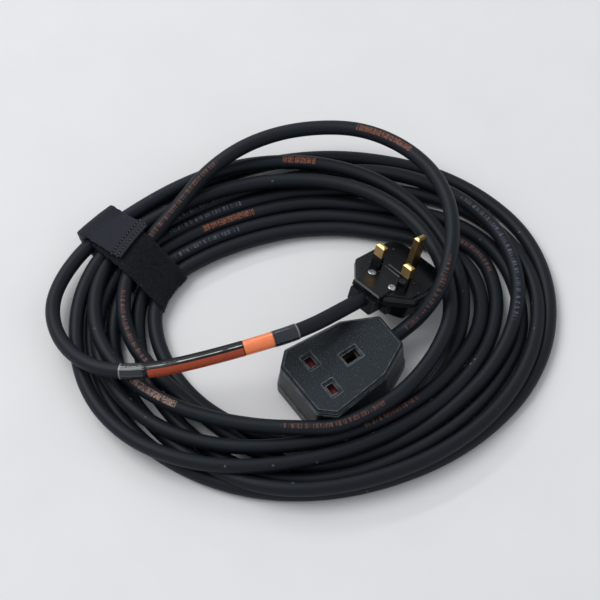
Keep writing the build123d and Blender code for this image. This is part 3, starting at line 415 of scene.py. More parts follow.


# %% [markdown]
# ## Shared surface effects
# Three effects turn up on several parts, so each is a node group: the fine grain that a
# textured mould leaves, with pale spots that are painted glints, the rubbed look of edges, and
# pale specks, which are dust and lint on some parts and painted glints on the socket.

# %% Grain and glint group
grain_and_glint_group, given, result = new_group(
    "Moulded grain and glints", "ShaderNodeTree", {"Vector": "Vector", "Scale": "Float"},
    {"Height": "Float", "Painted glint": "Float"})
pits = add(grain_and_glint_group, "ShaderNodeTexVoronoi", feature="F1")
cloud = add(grain_and_glint_group, "ShaderNodeTexNoise", {"Detail": 2.0})
mixed = calc(grain_and_glint_group, "ADD")
finer = calc(grain_and_glint_group, "MULTIPLY", {1: 1.8})
# Where the cloud noise is highest, pale spots are marked as painted glints.
glint = ramp(grain_and_glint_group, 0.57, 0.70)
join(grain_and_glint_group,
     (given, "Vector", pits, "Vector"),
     (given, "Vector", cloud, "Vector"),
     (given, "Scale", pits, "Scale"),
     (given, "Scale", finer, 0),
     (finer, "Value", cloud, "Scale"),
     (pits, "Distance", mixed, 0),
     (cloud, "Fac", mixed, 1),
     (mixed, "Value", result, "Height"),
     (cloud, "Fac", glint, "Value"),
     (glint, "Result", result, "Painted glint"))

# %% Edge group
edge_group, given, result = new_group(
    "Rubbed edge", "ShaderNodeTree", {"Vector": "Vector", "Width": "Float"}, {"Mask": "Float"})
rounded = add(edge_group, "ShaderNodeBevel", samples=6)
facing = add(edge_group, "ShaderNodeNewGeometry")
turned = add(edge_group, "ShaderNodeVectorMath", operation="DOT_PRODUCT")
bent = ramp(edge_group, 0.998, 0.93)
patchy = add(edge_group, "ShaderNodeTexNoise", {"Scale": 220.0, "Detail": 4.0})
patch = ramp(edge_group, 0.35, 0.62, to=(0.25, 1.0))
worn = calc(edge_group, "MULTIPLY")
join(edge_group,
     (given, "Width", rounded, "Radius"),
     (rounded, "Normal", turned, 0),
     (facing, "Normal", turned, 1),
     (turned, "Value", bent, "Value"),
     (given, "Vector", patchy, "Vector"),
     (patchy, "Fac", patch, "Value"),
     (bent, "Result", worn, 0),
     (patch, "Result", worn, 1),
     (worn, "Value", result, "Mask"))

# %% Dust and glint group
dust_and_glint_group, given, result = new_group(
    "Dust and glint specks", "ShaderNodeTree", {"Vector": "Vector", "Scale": "Float", "Rarity": "Float"},
    {"Mask": "Float"})
cells = add(dust_and_glint_group, "ShaderNodeTexVoronoi", {"Randomness": 1.0})
near = ramp(dust_and_glint_group, 0.26, 0.12)
parted = add(dust_and_glint_group, "ShaderNodeSeparateColor")
chosen = calc(dust_and_glint_group, "GREATER_THAN")
speck = calc(dust_and_glint_group, "MULTIPLY")
join(dust_and_glint_group,
     (given, "Vector", cells, "Vector"),
     (given, "Scale", cells, "Scale"),
     (cells, "Distance", near, "Value"),
     (cells, "Color", parted, "Color"),
     (parted, "Red", chosen, 0),
     (given, "Rarity", chosen, 1),
     (near, "Result", speck, 0),
     (chosen, "Value", speck, 1),
     (speck, "Value", result, "Mask"))


def use_group(tree, group, **values):
    made = add(tree, "ShaderNodeGroup", node_tree=group)
    for key, value in values.items():
        made.inputs[key.capitalize()].default_value = value
    where = add(tree, "ShaderNodeTexCoord")
    join(tree, (where, "Object", made, "Vector"))
    return made


print("effect groups:", [g.name for g in (grain_and_glint_group, edge_group, dust_and_glint_group)])

# %% [markdown]
# ## Cord rubber
# The sheath is matt blue-black rubber with a soft sheen. Its print has mostly rubbed off: what
# is left are a few faded boxes and lines of broken dashes. Each is placed by how far along the
# cord it lies, and it shows only on the strip of the sheath that faces upwards. The line
# beside the socket has a strip of its own, because the cord climbs there.

# %% Faded print
PRINT_SIDE = (-0.12, -0.16, 0.98)
CLIMBING_SIDE = (-0.29, -0.40, 0.87)
BROWN_BOXES = [(0.163, 0.203), (3.811, 3.846), (5.718, 5.739)]
PALE_BOXES = [(2.004, 2.036)]
BROWN_LINES = [(0.298, 0.385), (0.405, 0.470), (2.100, 2.165), (2.975, 3.035), (4.904, 4.943)]
CLIMBING_LINES = [(0.024, 0.088)]
PALE_LINES = [(0.742, 0.842), (0.985, 1.046), (3.150, 3.196), (4.560, 4.612)]


def within(tree, measured, spans):
    """One where the measure lies in any of the spans, else nought."""
    total = None
    for start, end in spans:
        middle, half = (start + end) / 2, (end - start) / 2
        inside = calc(tree, "COMPARE", {1: middle, 2: half})
        join(tree, (measured, inside.inputs[0]))
        if total is None:
            total = inside.outputs["Value"]
        else:
            both = calc(tree, "MAXIMUM")
            join(tree, (total, both.inputs[0]), (inside, "Value", both, 1))
            total = both.outputs["Value"]
    return total


def print_mask(tree, spans, side, strip_edge, dash_scale, dash_share):
    """A mask of worn print: spans along the cord, a strip across it, and random breaks."""
    measured = add(tree, "ShaderNodeAttribute", attribute_name="along")
    facing = add(tree, "ShaderNodeNewGeometry")
    towards = add(tree, "ShaderNodeVectorMath", {1: side}, operation="DOT_PRODUCT")
    strip = ramp(tree, strip_edge - 0.02, strip_edge + 0.01)
    breaks = add(tree, "ShaderNodeTexNoise", {"Scale": dash_scale, "Detail": 2.0}, noise_dimensions="1D")
    dash = ramp(tree, dash_share - 0.03, dash_share + 0.03)
    kept = ramp(tree, 0.38, 0.60, to=(0.15, 1.0))
    join(tree,
         (facing, "Normal", towards, 0),
         (towards, "Value", strip, "Value"),
         (measured, "Fac", breaks, "W"),
         (breaks, "Fac", dash, "Value"),
         (noise(tree, 900.0, 3.0), kept.inputs["Value"]))
    total = within(tree, measured.outputs["Fac"], spans)
    for part in (strip, dash, kept):
        step = calc(tree, "MULTIPLY")
        join(tree, (total, step.inputs[0]), (part, "Result", step, 1))
        total = step.outputs["Value"]
    return total


# %% Cord material
cord_rubber, tree, skin = start_material("cord_rubber", {
    "Roughness": 0.5, "Specular IOR Level": 0.23, "Specular Tint": (0.88, 0.95, 1.0, 1)})
grain = use_group(tree, grain_and_glint_group, scale=1100.0)
lint = use_group(tree, dust_and_glint_group, scale=260.0, rarity=0.978)
# Faint pale spots from the grain's glint output are painted glints on the cord.
colour = mix_colour(tree, grain.outputs["Painted glint"], (0.0055, 0.0070, 0.0105), (0.012, 0.0145, 0.020))
colour = mix_colour(tree, lint.outputs["Mask"], colour, (0.07, 0.074, 0.08))
for spans, side, strip_edge, dash_scale, dash_share, ink in (
        (BROWN_BOXES, PRINT_SIDE, 0.89, 900.0, 0.42, (0.22, 0.075, 0.040)),
        (PALE_BOXES, PRINT_SIDE, 0.88, 900.0, 0.36, (0.30, 0.20, 0.16)),
        (BROWN_LINES, PRINT_SIDE, 0.95, 620.0, 0.50, (0.14, 0.056, 0.042)),
        (CLIMBING_LINES, CLIMBING_SIDE, 0.95, 620.0, 0.50, (0.12, 0.056, 0.045)),
        (PALE_LINES, PRINT_SIDE, 0.95, 560.0, 0.52, (0.085, 0.102, 0.132))):
    worn = print_mask(tree, spans, side, strip_edge, dash_scale, dash_share)
    colour = mix_colour(tree, worn, colour, ink)
join(tree, (colour, skin.inputs["Base Color"]))
bump(tree, skin, grain.outputs["Height"], 0.22, 0.12 * MM)

# %% Cord
cord_steps = slice(None)
cord_path = path[cord_steps]
cord = grow("cord", line_mesh("cord_line", cord_path), tube_maker,
            radius=CORD_DIAMETER / 2, sides=16, start=0.0, material=cord_rubber)
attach(cord, "lead")
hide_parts("cord_coil", "cord_plug_end", "cord_socket_end")

# %% [markdown]
# ## Label and clear sleeve
# Near the plug a printed label is wrapped round the cord, with an orange band beside it, and
# a clear sleeve is shrunk over both. Each is a slightly wider tube on a stretch of the cord's
# own line, measured back from the plug. Along the label's upper side runs a broken pale line,
# a painted highlight.

# %% Label surfaces
LABEL_SPAN = (0.1026, 0.1605)
BAND_SPAN = (0.084, 0.102)
SLEEVE_SPAN = (0.069, 0.178)
RUST_SIDE = (-0.55, -0.76, -0.34)
plug_end_at = float(along[-1])

dark_label, tree, skin = start_material("dark_label", {
    "Roughness": 0.55, "Specular IOR Level": 0.12, "Coat Weight": 0.3, "Coat Roughness": 0.04})
facing = add(tree, "ShaderNodeNewGeometry")
below = add(tree, "ShaderNodeVectorMath", {1: RUST_SIDE}, operation="DOT_PRODUCT")
stripe = ramp(tree, 0.10, 0.16)
# A thin band on the label's upper side, broken along its length, is painted pale as a highlight.
streak_band = calc(tree, "COMPARE", {1: -0.25, 2: 0.045})
measured = add(tree, "ShaderNodeAttribute", attribute_name="along")
streak_breaks = add(tree, "ShaderNodeTexNoise", {"Scale": 75.0, "Detail": 3.0}, noise_dimensions="1D")
patch = ramp(tree, 0.36, 0.66)
painted_highlight = calc(tree, "MULTIPLY")
join(tree,
     (facing, "Normal", below, 0),
     (below, "Value", stripe, "Value"),
     (below, "Value", streak_band, 0),
     (measured, "Fac", streak_breaks, "W"),
     (streak_breaks, "Fac", patch, "Value"),
     (streak_band, "Value", painted_highlight, 0),
     (patch, "Result", painted_highlight, 1))
rust = mix_colour(tree, noise(tree, 420.0, 3.0), (0.28, 0.038, 0.013), (0.42, 0.075, 0.028))
colour = mix_colour(tree, stripe.outputs["Result"], (0.003, 0.003, 0.004), rust)
colour = mix_colour(tree, painted_highlight.outputs["Value"], colour, (0.62, 0.64, 0.66))
join(tree, (colour, skin.inputs["Base Color"]))

orange_label, tree, skin = start_material("orange_label", {
    "Roughness": 0.5, "Coat Weight": 1.0, "Coat Roughness": 0.05})
mottle(tree, skin, (0.92, 0.165, 0.032), (0.98, 0.26, 0.078), scale=300.0, detail=3.0)

# %% Sleeve surface
clear_sleeve, tree, skin = start_material("clear_sleeve", {
    "Roughness": 0.14, "Coat Weight": 0.6, "Coat Roughness": 0.06})
measured = add(tree, "ShaderNodeAttribute", attribute_name="along")
from_middle = calc(tree, "SUBTRACT", {1: plug_end_at - sum(SLEEVE_SPAN) / 2})
away = calc(tree, "ABSOLUTE")
bare = ramp(tree, 0.0385, 0.0405, to=(0.04, 0.75))
rim = ramp(tree, 0.0533, 0.0540)
join(tree,
     (measured, "Fac", from_middle, 0),
     (from_middle, "Value", away, 0),
     (away, "Value", bare, "Value"),
     (away, "Value", rim, "Value"),
     (bare, "Result", skin, "Alpha"))
colour = mix_colour(tree, rim.outputs["Result"], (0.014, 0.019, 0.027), (0.20, 0.22, 0.25))
join(tree, (colour, skin.inputs["Base Color"]))
bump(tree, skin, noise(tree, 240.0), 0.30, 0.4 * MM)


# %% Label tubes
LABEL_RADIUS = 4.75 * MM
SLEEVE_RADIUS = 5.05 * MM
LABEL_SIDES = 24
RING_GAP = 1 * MM


def stretch(name, span, radius, material):
    """A tube over a span of the cord, in metres back from its end in the plug."""
    first, last = plug_end_at - span[1], plug_end_at - span[0]
    inner = (along > first + RING_GAP) & (along < last - RING_GAP)
    stops = np.concatenate([[first], along[inner], [last]])
    points = np.stack([np.interp(stops, along, path[:, axis]) for axis in range(3)], -1)
    return grow(name, line_mesh(name + "_line", points), tube_maker,
                radius=radius, sides=LABEL_SIDES, start=first, material=material)


label = stretch("label_dark", LABEL_SPAN, LABEL_RADIUS, dark_label)
band = stretch("label_orange", BAND_SPAN, LABEL_RADIUS, orange_label)
sleeve = stretch("sleeve_clear", SLEEVE_SPAN, SLEEVE_RADIUS, clear_sleeve)
for piece, node, slot in ((label, "label_wrap", "dark_label"), (band, "label_band", "orange_label"),
                          (sleeve, "label_sleeve", "clear_sleeve")):
    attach(piece, "lead")
    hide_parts(node)

# %% [markdown]
# ## The strap
# A strip of hook-and-loop tape goes round all nine lengths of cord at one side of the coil.
# Pulled tight, it takes the shape of a string round a bundle: the outline that just holds
# every length. So each slice of it is found from where the cord passes. Then it folds back
# over itself, and its tail lies inwards across the top, a little askew.

# %% Bundle outline
STRAP_AT = np.array((-58.8, 145.4)) * MM
STRAP_ALONG = np.array((0.978, 0.208))
STRAP_ACROSS = np.array((-0.208, 0.978))
BUNDLE_REACH = 45 * MM

offset = path[:, :2] - STRAP_AT
lengthwise = offset @ STRAP_ALONG
crosswise = offset @ STRAP_ACROSS


def passes(u):
    """Where each length of cord crosses the slice at u: how far across, and how high."""
    found = []
    for i in np.nonzero((lengthwise[:-1] - u) * (lengthwise[1:] - u) < 0)[0]:
        part = (u - lengthwise[i]) / (lengthwise[i + 1] - lengthwise[i])
        v = crosswise[i] + part * (crosswise[i + 1] - crosswise[i])
        if abs(v) < BUNDLE_REACH:
            found.append((v, path[i, 2] + part * (path[i + 1, 2] - path[i, 2])))
    return np.array(found)


def tight_outline(centres, radius):
    """The convex outline round circles, counter-clockwise."""
    angles = np.linspace(0, 2 * np.pi, 33)[:-1]
    circle = radius * np.stack([np.cos(angles), np.sin(angles)], -1)
    spots = (centres[:, None, :] + circle[None]).reshape(-1, 2)
    spots = spots[np.lexsort((spots[:, 1], spots[:, 0]))]
    halves = []
    for order in (spots, spots[::-1]):
        hull = []
        for spot in order:
            while len(hull) > 1:
                a, b = hull[-1] - hull[-2], spot - hull[-2]
                if a[0] * b[1] - a[1] * b[0] > 0:
                    break
                hull.pop()
            hull.append(spot)
        halves.append(hull[:-1])
    return np.array(halves[0] + halves[1])


def evenly(points, count):
    lengths = np.append(0.0, np.cumsum(np.linalg.norm(np.diff(points, axis=0), axis=1)))
    stops = np.linspace(0, lengths[-1], count)
    return np.stack([np.interp(stops, lengths, points[:, axis]) for axis in range(2)], -1)


print("lengths of cord under the strap:", len(passes(0.0)))

# %% [markdown]
# A slice starts on top, near the bundle's outer side, goes once round, and folds over. The
# fold is a short list of points: how far out from the bundle, what share of its height, and
# how much above that. The tail's end is cut at a slant.

# %% Strap slices
STRAP_WIDTH = 28 * MM
STRAP_SHEET = 1.3 * MM
CORD_GAP = 0.3 * MM
TAIL_GAP = 0.9 * MM
TAIL_REACH = 32 * MM
TAIL_SLANT = 3 * MM
LAP = 9 * MM
FOLD = [(1.2, 0.62, 0.0), (2.8, 0.80, 0.0), (3.6, 1.0, -0.8),
        (3.6, 1.0, 1.2), (2.6, 1.0, 2.4), (0.5, 1.0, 2.6)]
SLICES = 17
STEPS = 120
HULL_STEPS = 400
TAIL_STEPS = 24


def tail_reach(u):
    return TAIL_REACH - TAIL_SLANT * u / (STRAP_WIDTH / 2)


def strap_slice(u):
    """Points of the sheet's middle, from the bundle's outer side round it to the tail's end."""
    hull = tight_outline(passes(u), CORD_DIAMETER / 2 + STRAP_SHEET / 2 + CORD_GAP)
    hull = evenly(np.vstack([hull, hull[:1]]), HULL_STEPS)[:-1]
    outer, top = hull[:, 0].max(), hull[:, 1].max()
    middle = hull[:, 1].mean()
    upper = hull[hull[:, 1] > middle]
    start = np.argmin(abs(hull[:, 0] - (outer - LAP)) + 10 * (hull[:, 1] < middle))
    loop = np.roll(hull, -start, axis=0)
    climbing = (loop[:, 0] > outer - 4 * MM) & (loop[:, 1] > 0.55 * top)
    loop = loop[:np.argmax(climbing & (np.arange(len(loop)) > 60))]
    fold = np.array([(outer + out * MM, share * top + up * MM) for out, share, up in FOLD])
    tail_v = np.linspace(outer - 5 * MM, outer + 4 * MM - tail_reach(u), TAIL_STEPS)
    order = np.argsort(upper[:, 0])
    tail_z = np.interp(tail_v, upper[order, 0], upper[order, 1]) + STRAP_SHEET + TAIL_GAP
    return np.vstack([loop, fold, np.stack([tail_v, tail_z], -1)])


def smooth_rows(rows, turns):
    for _ in range(turns):
        rows[:, 1:-1] = 0.25 * rows[:, :-2] + 0.5 * rows[:, 1:-1] + 0.25 * rows[:, 2:]
    return rows


us = np.linspace(-STRAP_WIDTH / 2, STRAP_WIDTH / 2, SLICES)
rows = smooth_rows(np.array([evenly(strap_slice(u), STEPS) for u in us]), 2)
steps = np.linalg.norm(np.diff(rows, axis=1), axis=2)
tape = np.concatenate([np.zeros((SLICES, 1)), np.cumsum(steps, axis=1)], axis=1)
back = tape[:, -1:] - tape
print("strap height", round(rows[..., 1].max() / MM, 1), "mm")
print("tape length", round(tape[SLICES // 2, -1] / MM), "mm")

# %% [markdown]
# Real tape is never quite straight. The tail leans to one side, its end curls up a little, and
# the cut edges wander by a fraction of a millimetre.

# %% Strap in place
TAIL_SKEW = 4 * MM
EDGE_WANDER = 0.35 * MM
CURL_RISE = 0.9 * MM
CURL_LENGTH = 8 * MM

rng = np.random.default_rng(7)
reaches = np.array([tail_reach(u) for u in us])[:, None]
sideways = us[:, None] + TAIL_SKEW * np.clip(1 - back / reaches, 0, 1)
wander = rng.normal(0.0, EDGE_WANDER, (2, STEPS))
sideways[0] += wander[0]
sideways[-1] += wander[1]
strap_points = np.empty((SLICES, STEPS, 3))
strap_points[..., :2] = STRAP_AT + sideways[..., None] * STRAP_ALONG + rows[..., :1] * STRAP_ACROSS
strap_points[..., 2] = rows[..., 1] + CURL_RISE * np.clip(1 - back / CURL_LENGTH, 0, 1) ** 2

# %% [markdown]
# The tail shows the woven back of the tape, with painted shade along its two pinched seams.
# The part under it is pile. The cloth's own map says how far each place is from the tail's end.
# The inner side of the tape has a paler lining.

# %% Strap cloth
SEAMS_BACK = (2.6 * MM, 6.8 * MM)
SEAM_SHADE_HALF = 0.75 * MM

strap_cloth, tree, skin = start_material("strap_cloth", {
    "Roughness": 0.9, "Specular IOR Level": 0.2, "Sheen Weight": 0.16, "Sheen Roughness": 0.5,
    "Sheen Tint": (0.55, 0.60, 0.70, 1)})
weave_at = add(tree, "ShaderNodeUVMap")
parted = add(tree, "ShaderNodeSeparateXYZ")
on_tail = ramp(tree, 0.043, 0.038)
threads = add(tree, "ShaderNodeTexWave",
              {"Scale": 330.0, "Distortion": 2.0, "Detail": 3.0, "Detail Scale": 3.0},
              wave_type="BANDS", bands_direction="Y")
fibre = noise(tree, 1300.0, 4.0, 0.75)
worn = calc(tree, "MULTIPLY")
picked = ramp(tree, 0.05, 0.50)
rough_side = add(tree, "ShaderNodeMix", data_type="FLOAT")
lint = use_group(tree, dust_and_glint_group, scale=420.0, rarity=0.95)
join(tree,
     (weave_at, "UV", threads, "Vector"),
     (weave_at, "UV", parted, "Vector"),
     (parted, "Y", on_tail, "Value"),
     (threads, "Fac", worn, 0),
     (fibre, worn.inputs[1]),
     (worn, "Value", picked, "Value"),
     (on_tail, "Result", rough_side, "Factor"),
     (fibre, rough_side.inputs["A"]),
     (worn, "Value", rough_side, "B"))
woven = mix_colour(tree, picked.outputs["Result"], (0.010, 0.0115, 0.016), (0.032, 0.036, 0.049))
# Thin dark bands at the two seams are painted shade of their pinched grooves.
for distance in SEAMS_BACK:
    beside = calc(tree, "COMPARE", {1: distance, 2: SEAM_SHADE_HALF})
    join(tree, (parted, "Y", beside, 0))
    woven = mix_colour(tree, beside.outputs["Value"], woven, (0.003, 0.0035, 0.005))
piled = mix_colour(tree, fibre, (0.002, 0.0024, 0.0033), (0.010, 0.0115, 0.0145))
colour = mix_colour(tree, on_tail.outputs["Result"], piled, woven)
colour = mix_colour(tree, lint.outputs["Mask"], colour, (0.05, 0.054, 0.062))
join(tree, (colour, skin.inputs["Base Color"]))
bump(tree, skin, rough_side.outputs["Result"], 0.8, 0.6 * MM)

strap_lining, tree, skin = start_material("strap_lining", {"Roughness": 0.85})
mottle(tree, skin, (0.10, 0.105, 0.11), (0.34, 0.35, 0.36), scale=900.0, detail=3.0)


# %% Strap
PILE_LOWEST = 3 * MM
PILE_START = 6 * MM
PILE_FADE = 4 * MM

strap_faces = [(i * STEPS + j, i * STEPS + j + 1, (i + 1) * STEPS + j + 1, (i + 1) * STEPS + j)
               for i in range(SLICES - 1) for j in range(STEPS - 1)]
sheet = new_mesh("strap_sheet", strap_points.reshape(-1, 3), faces=strap_faces)
uv = sheet.uv_layers.new(name="UVMap")
for loop in sheet.loops:
    i, j = divmod(loop.vertex_index, STEPS)
    uv.data[loop.index].uv = (us[i], back[i, j])
hairy = np.clip((back - reaches - PILE_START) / PILE_FADE, 0, 1) * (strap_points[..., 2] > PILE_LOWEST)
pile = sheet.attributes.new("pile", "FLOAT", "POINT")
pile.data.foreach_set("value", hairy.ravel().astype(np.float32))
sheet.materials.append(strap_cloth)
sheet.materials.append(strap_lining)
holder = put("strap_base", sheet)
thicken = holder.modifiers.new("thickness", "SOLIDIFY")
thicken.thickness = STRAP_SHEET
thicken.offset = 0.0
thicken.material_offset = 1
rounding = holder.modifiers.new("rounding", "SUBSURF")
rounding.levels = 1
rounding.render_levels = 1
strap_mesh = as_mesh(holder)
strap_mesh.shade_smooth()
strap = put("strap", strap_mesh)
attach(strap, "lead")
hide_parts("cord_tie")
print("strap faces", len(strap_mesh.polygons))

# %% [markdown]
# The part under the tail is the loop side of the tape, a soft pile. A tool scatters short
# leaning fibres over it, thickest where the sheet is marked as pile, so its outline looks fuzzy.

# %% Pile maker
LEAN_LEAST = (-1.1, -1.1, 0.0)
LEAN_MOST = (1.1, 1.1, 6.28)

pile_maker, given, result = start_tool(
    "Cloth pile", {"Density": "Float", "Length": "Float", "Thickness": "Float", "Seed": "Int"})
marked = add(pile_maker, "GeometryNodeInputNamedAttribute", {"Name": "pile"}, data_type="FLOAT")
thick = calc(pile_maker, "MULTIPLY")
scatter = add(pile_maker, "GeometryNodeDistributePointsOnFaces", distribute_method="RANDOM")
hair = add(pile_maker, "GeometryNodeMeshCone",
           {"Vertices": 4, "Side Segments": 1, "Radius Top": 0.0}, fill_type="NONE")
lean = add(pile_maker, "FunctionNodeRandomValue", {0: LEAN_LEAST, 1: LEAN_MOST}, data_type="FLOAT_VECTOR")
as_turn = add(pile_maker, "FunctionNodeEulerToRotation")
turned = add(pile_maker, "FunctionNodeRotateRotation", rotation_space="LOCAL")
plant = add(pile_maker, "GeometryNodeInstanceOnPoints")
join(pile_maker,
     (marked, "Attribute", thick, 0),
     (given, "Density", thick, 1),
     (given, "Geometry", scatter, "Mesh"),
     (thick, "Value", scatter, "Density"),
     (given, "Seed", scatter, "Seed"),
     (given, "Seed", lean, "Seed"),
     (given, "Thickness", hair, "Radius Bottom"),
     (given, "Length", hair, "Depth"),
     (lean, 0, as_turn, "Euler"),
     (scatter, "Rotation", turned, "Rotation"),
     (as_turn, "Rotation", turned, "Rotate By"),
     (scatter, "Points", plant, "Points"),
     (hair, "Mesh", plant, "Instance"),
     (turned, "Rotation", plant, "Rotation"))
end_tool(pile_maker, given, result, plant.outputs["Instances"])

# %% Pile
PILE_LENGTH = 1.1 * MM
PILE_THICKNESS = 0.16 * MM
PILE_DENSITY = 1.4e6

pile_fibre, tree, skin = start_material("pile_fibre", {"Roughness": 0.95, "Specular IOR Level": 0.1})
mottle(tree, skin, (0.002, 0.0025, 0.0035), (0.026, 0.029, 0.035), scale=700.0)
strap_pile = grow("strap_pile", strap_mesh, pile_maker, density=PILE_DENSITY, length=PILE_LENGTH,
                  thickness=PILE_THICKNESS, seed=5, material=pile_fibre)
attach(strap_pile, "lead")

# %% [markdown]
# Two rows of stitches hold the hook patch under the tail. They run across the tape a few
# millimetres from its end, and a third tool sets one small stitch after another.

# %% Stitch maker
stitch_maker, given, result = start_tool("Stitches along a line", {"Pitch": "Float", "Size": "Vector"})
line = add(stitch_maker, "GeometryNodeMeshToCurve")
spots = add(stitch_maker, "GeometryNodeCurveToPoints", mode="LENGTH")
turned = add(stitch_maker, "FunctionNodeAlignRotationToVector", axis="X")
bead = add(stitch_maker, "GeometryNodeMeshIcoSphere", {"Radius": 1.0, "Subdivisions": 1})
sew = add(stitch_maker, "GeometryNodeInstanceOnPoints")
join(stitch_maker,
     (given, "Geometry", line, "Mesh"),
     (line, "Curve", spots, "Curve"),
     (given, "Pitch", spots, "Length"),
     (spots, "Tangent", turned, "Vector"),
     (spots, "Points", sew, "Points"),
     (bead, "Mesh", sew, "Instance"),
     (turned, "Rotation", sew, "Rotation"),
     (given, "Size", sew, "Scale"))
end_tool(stitch_maker, given, result, sew.outputs["Instances"])

# %% Stitches
STITCH_PITCH = 2.3 * MM
STITCH_SIZE = (0.75 * MM, 0.34 * MM, 0.3 * MM)
STITCH_LIFT = 0.1 * MM

thread, tree, skin = start_material("seam_thread", {"Roughness": 0.7})
mottle(tree, skin, (0.045, 0.05, 0.064), (0.09, 0.10, 0.12), scale=2400.0)
seam_points = []
seam_edges = []
for distance in SEAMS_BACK:
    for i in range(SLICES):
        spot = [np.interp(-distance, -back[i], strap_points[i, :, axis]) for axis in range(3)]
        spot[2] += STRAP_SHEET / 2 + STITCH_LIFT
        if i:
            seam_edges.append((len(seam_points) - 1, len(seam_points)))
        seam_points.append(spot)
stitches = grow("strap_stitches", new_mesh("seam_lines", seam_points, seam_edges), stitch_maker,
                pitch=STITCH_PITCH, size=STITCH_SIZE, material=thread)
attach(stitches, "lead")

# %% [markdown]
# ## Ribs on the plug's face
# Two thin moulded ribs cross the plug's face between its pins. They are drawn in the plug's
# own frame, with their tops narrower than their feet as a mould needs, and then turned the
# way the plug lies.

# %% Plug ribs
PLUG_AT = Vector((54.8, 29.5, 30.5)) * MM
PLUG_TURNS = (("Z", 7.9), ("Y", 23.3), ("X", -4.75))
RIB_ROWS = (6.0, 9.4)
RIB_ENDS = (-5.5, 8.5)
RIB_FOOT = 0.36
RIB_TOP = 0.22
RIB_RISE = 0.35
RIB_SUNK = -0.05

plug_turn = Matrix.Identity(3)
for axis, angle in PLUG_TURNS:
    plug_turn = plug_turn @ Matrix.Rotation(radians(angle), 3, axis)
rib_points = []
rib_faces = []
for row in RIB_ROWS:
    first = len(rib_points)
    for half, inset, z in ((RIB_FOOT, 0.0, RIB_SUNK), (RIB_TOP, RIB_FOOT - RIB_TOP, RIB_RISE)):
        left, right = row - half, row + half
        near_end, far_end = RIB_ENDS[0] + inset, RIB_ENDS[1] - inset
        for x, y in ((left, near_end), (right, near_end), (right, far_end), (left, far_end)):
            rib_points.append(PLUG_AT + plug_turn @ (Vector((x, y, z)) * MM))
    sides = [(i, (i + 1) % 4, 4 + (i + 1) % 4, 4 + i) for i in range(4)]
    rib_faces += [tuple(first + i for i in face) for face in [(3, 2, 1, 0), (4, 5, 6, 7)] + sides]
rib_plastic, tree, skin = start_material("rib_plastic", {"Roughness": 0.35})
mottle(tree, skin, (0.02, 0.021, 0.024), (0.26, 0.27, 0.28), scale=600.0, detail=3.0)
plug_ribs = put("face_ribs", new_mesh("plug_ribs", rib_points, faces=rib_faces))
plug_ribs.data.materials.append(rib_plastic)
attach(plug_ribs, "lead")
print("ribs on the plug:", len(RIB_ROWS))

# %% [markdown]
# ## What the cord carries
# The cord comes out of the socket and ends in the plug. The plug's parts, the label, its
# sleeve and the strap with its pile and stitches are gathered in one list.

carried = [solid for name, solid in sorted(nodes.items()) if name.startswith("plug_")]
carried += [plug_ribs, label, band, sleeve, strap, strap_pile, stitches]
print("pieces on the cord:", len(carried))

# %% [markdown]
# ## Surfaces of the hard parts
# The socket and the plug's cover are moulded rubber with a fine grain, rubbed paler on the
# edges and dotted with pale painted glints. The plug's base is glossy, its pins are brass, and
# its screws are zinc plated.

# %% Rubber
case_rubber, tree, skin = start_material("case_rubber", {
    "Roughness": 0.34, "Specular IOR Level": 0.35, "Specular Tint": (0.76, 0.90, 1.0, 1)})
grain = use_group(tree, grain_and_glint_group, scale=1150.0)
rub = use_group(tree, edge_group, width=0.9 * MM)
# These pale specks are painted glints on the socket's rubber, not dust.
painted_glints = use_group(tree, dust_and_glint_group, scale=700.0, rarity=0.5)
lint = use_group(tree, dust_and_glint_group, scale=300.0, rarity=0.975)
# Pale spots from the grain's glint output are painted glints on the socket's rubber.
colour = mix_colour(tree, grain.outputs["Painted glint"], (0.003, 0.0042, 0.0062), (0.021, 0.025, 0.032))
colour = mix_colour(tree, painted_glints.outputs["Mask"], colour, (0.062, 0.072, 0.085))
colour = mix_colour(tree, rub.outputs["Mask"], colour, (0.21, 0.225, 0.24))
colour = mix_colour(tree, lint.outputs["Mask"], colour, (0.16, 0.165, 0.17))
join(tree, (colour, skin.inputs["Base Color"]))
bump(tree, skin, grain.outputs["Height"], 0.75, 0.3 * MM)

cover_rubber, tree, skin = start_material("cover_rubber", {"Roughness": 0.38, "Specular IOR Level": 0.32})
grain = use_group(tree, grain_and_glint_group, scale=1650.0)
rub = use_group(tree, edge_group, width=0.6 * MM)
# Pale spots from the grain's glint output are painted glints on the cover too.
colour = mix_colour(tree, grain.outputs["Painted glint"], (0.0025, 0.003, 0.004), (0.010, 0.012, 0.015))
colour = mix_colour(tree, rub.outputs["Mask"], colour, (0.05, 0.053, 0.058))
join(tree, (colour, skin.inputs["Base Color"]))
bump(tree, skin, grain.outputs["Height"], 0.25, 0.2 * MM)

# %% Plastic
black_plastic, tree, skin = start_material("black_plastic", {"Roughness": 0.24, "Specular IOR Level": 0.26})
rub = use_group(tree, edge_group, width=0.4 * MM)
lint = use_group(tree, dust_and_glint_group, scale=380.0, rarity=0.97)
dulled = ramp(tree, 0.0, 1.0, to=(0.18, 0.36))
colour = mix_colour(tree, rub.outputs["Mask"], (0.0028, 0.0032, 0.004), (0.020, 0.021, 0.024))
colour = mix_colour(tree, lint.outputs["Mask"], colour, (0.10, 0.10, 0.105))
join(tree,
     (colour, skin.inputs["Base Color"]),
     (noise(tree, 140.0, 4.0), dulled.inputs["Value"]),
     (dulled, "Result", skin, "Roughness"))


def plain_plastic(name, dark, light, roughness):
    made, tree, skin = start_material(name, {"Roughness": roughness})
    mottle(tree, skin, dark, light, scale=180.0, detail=3.0)
    return made


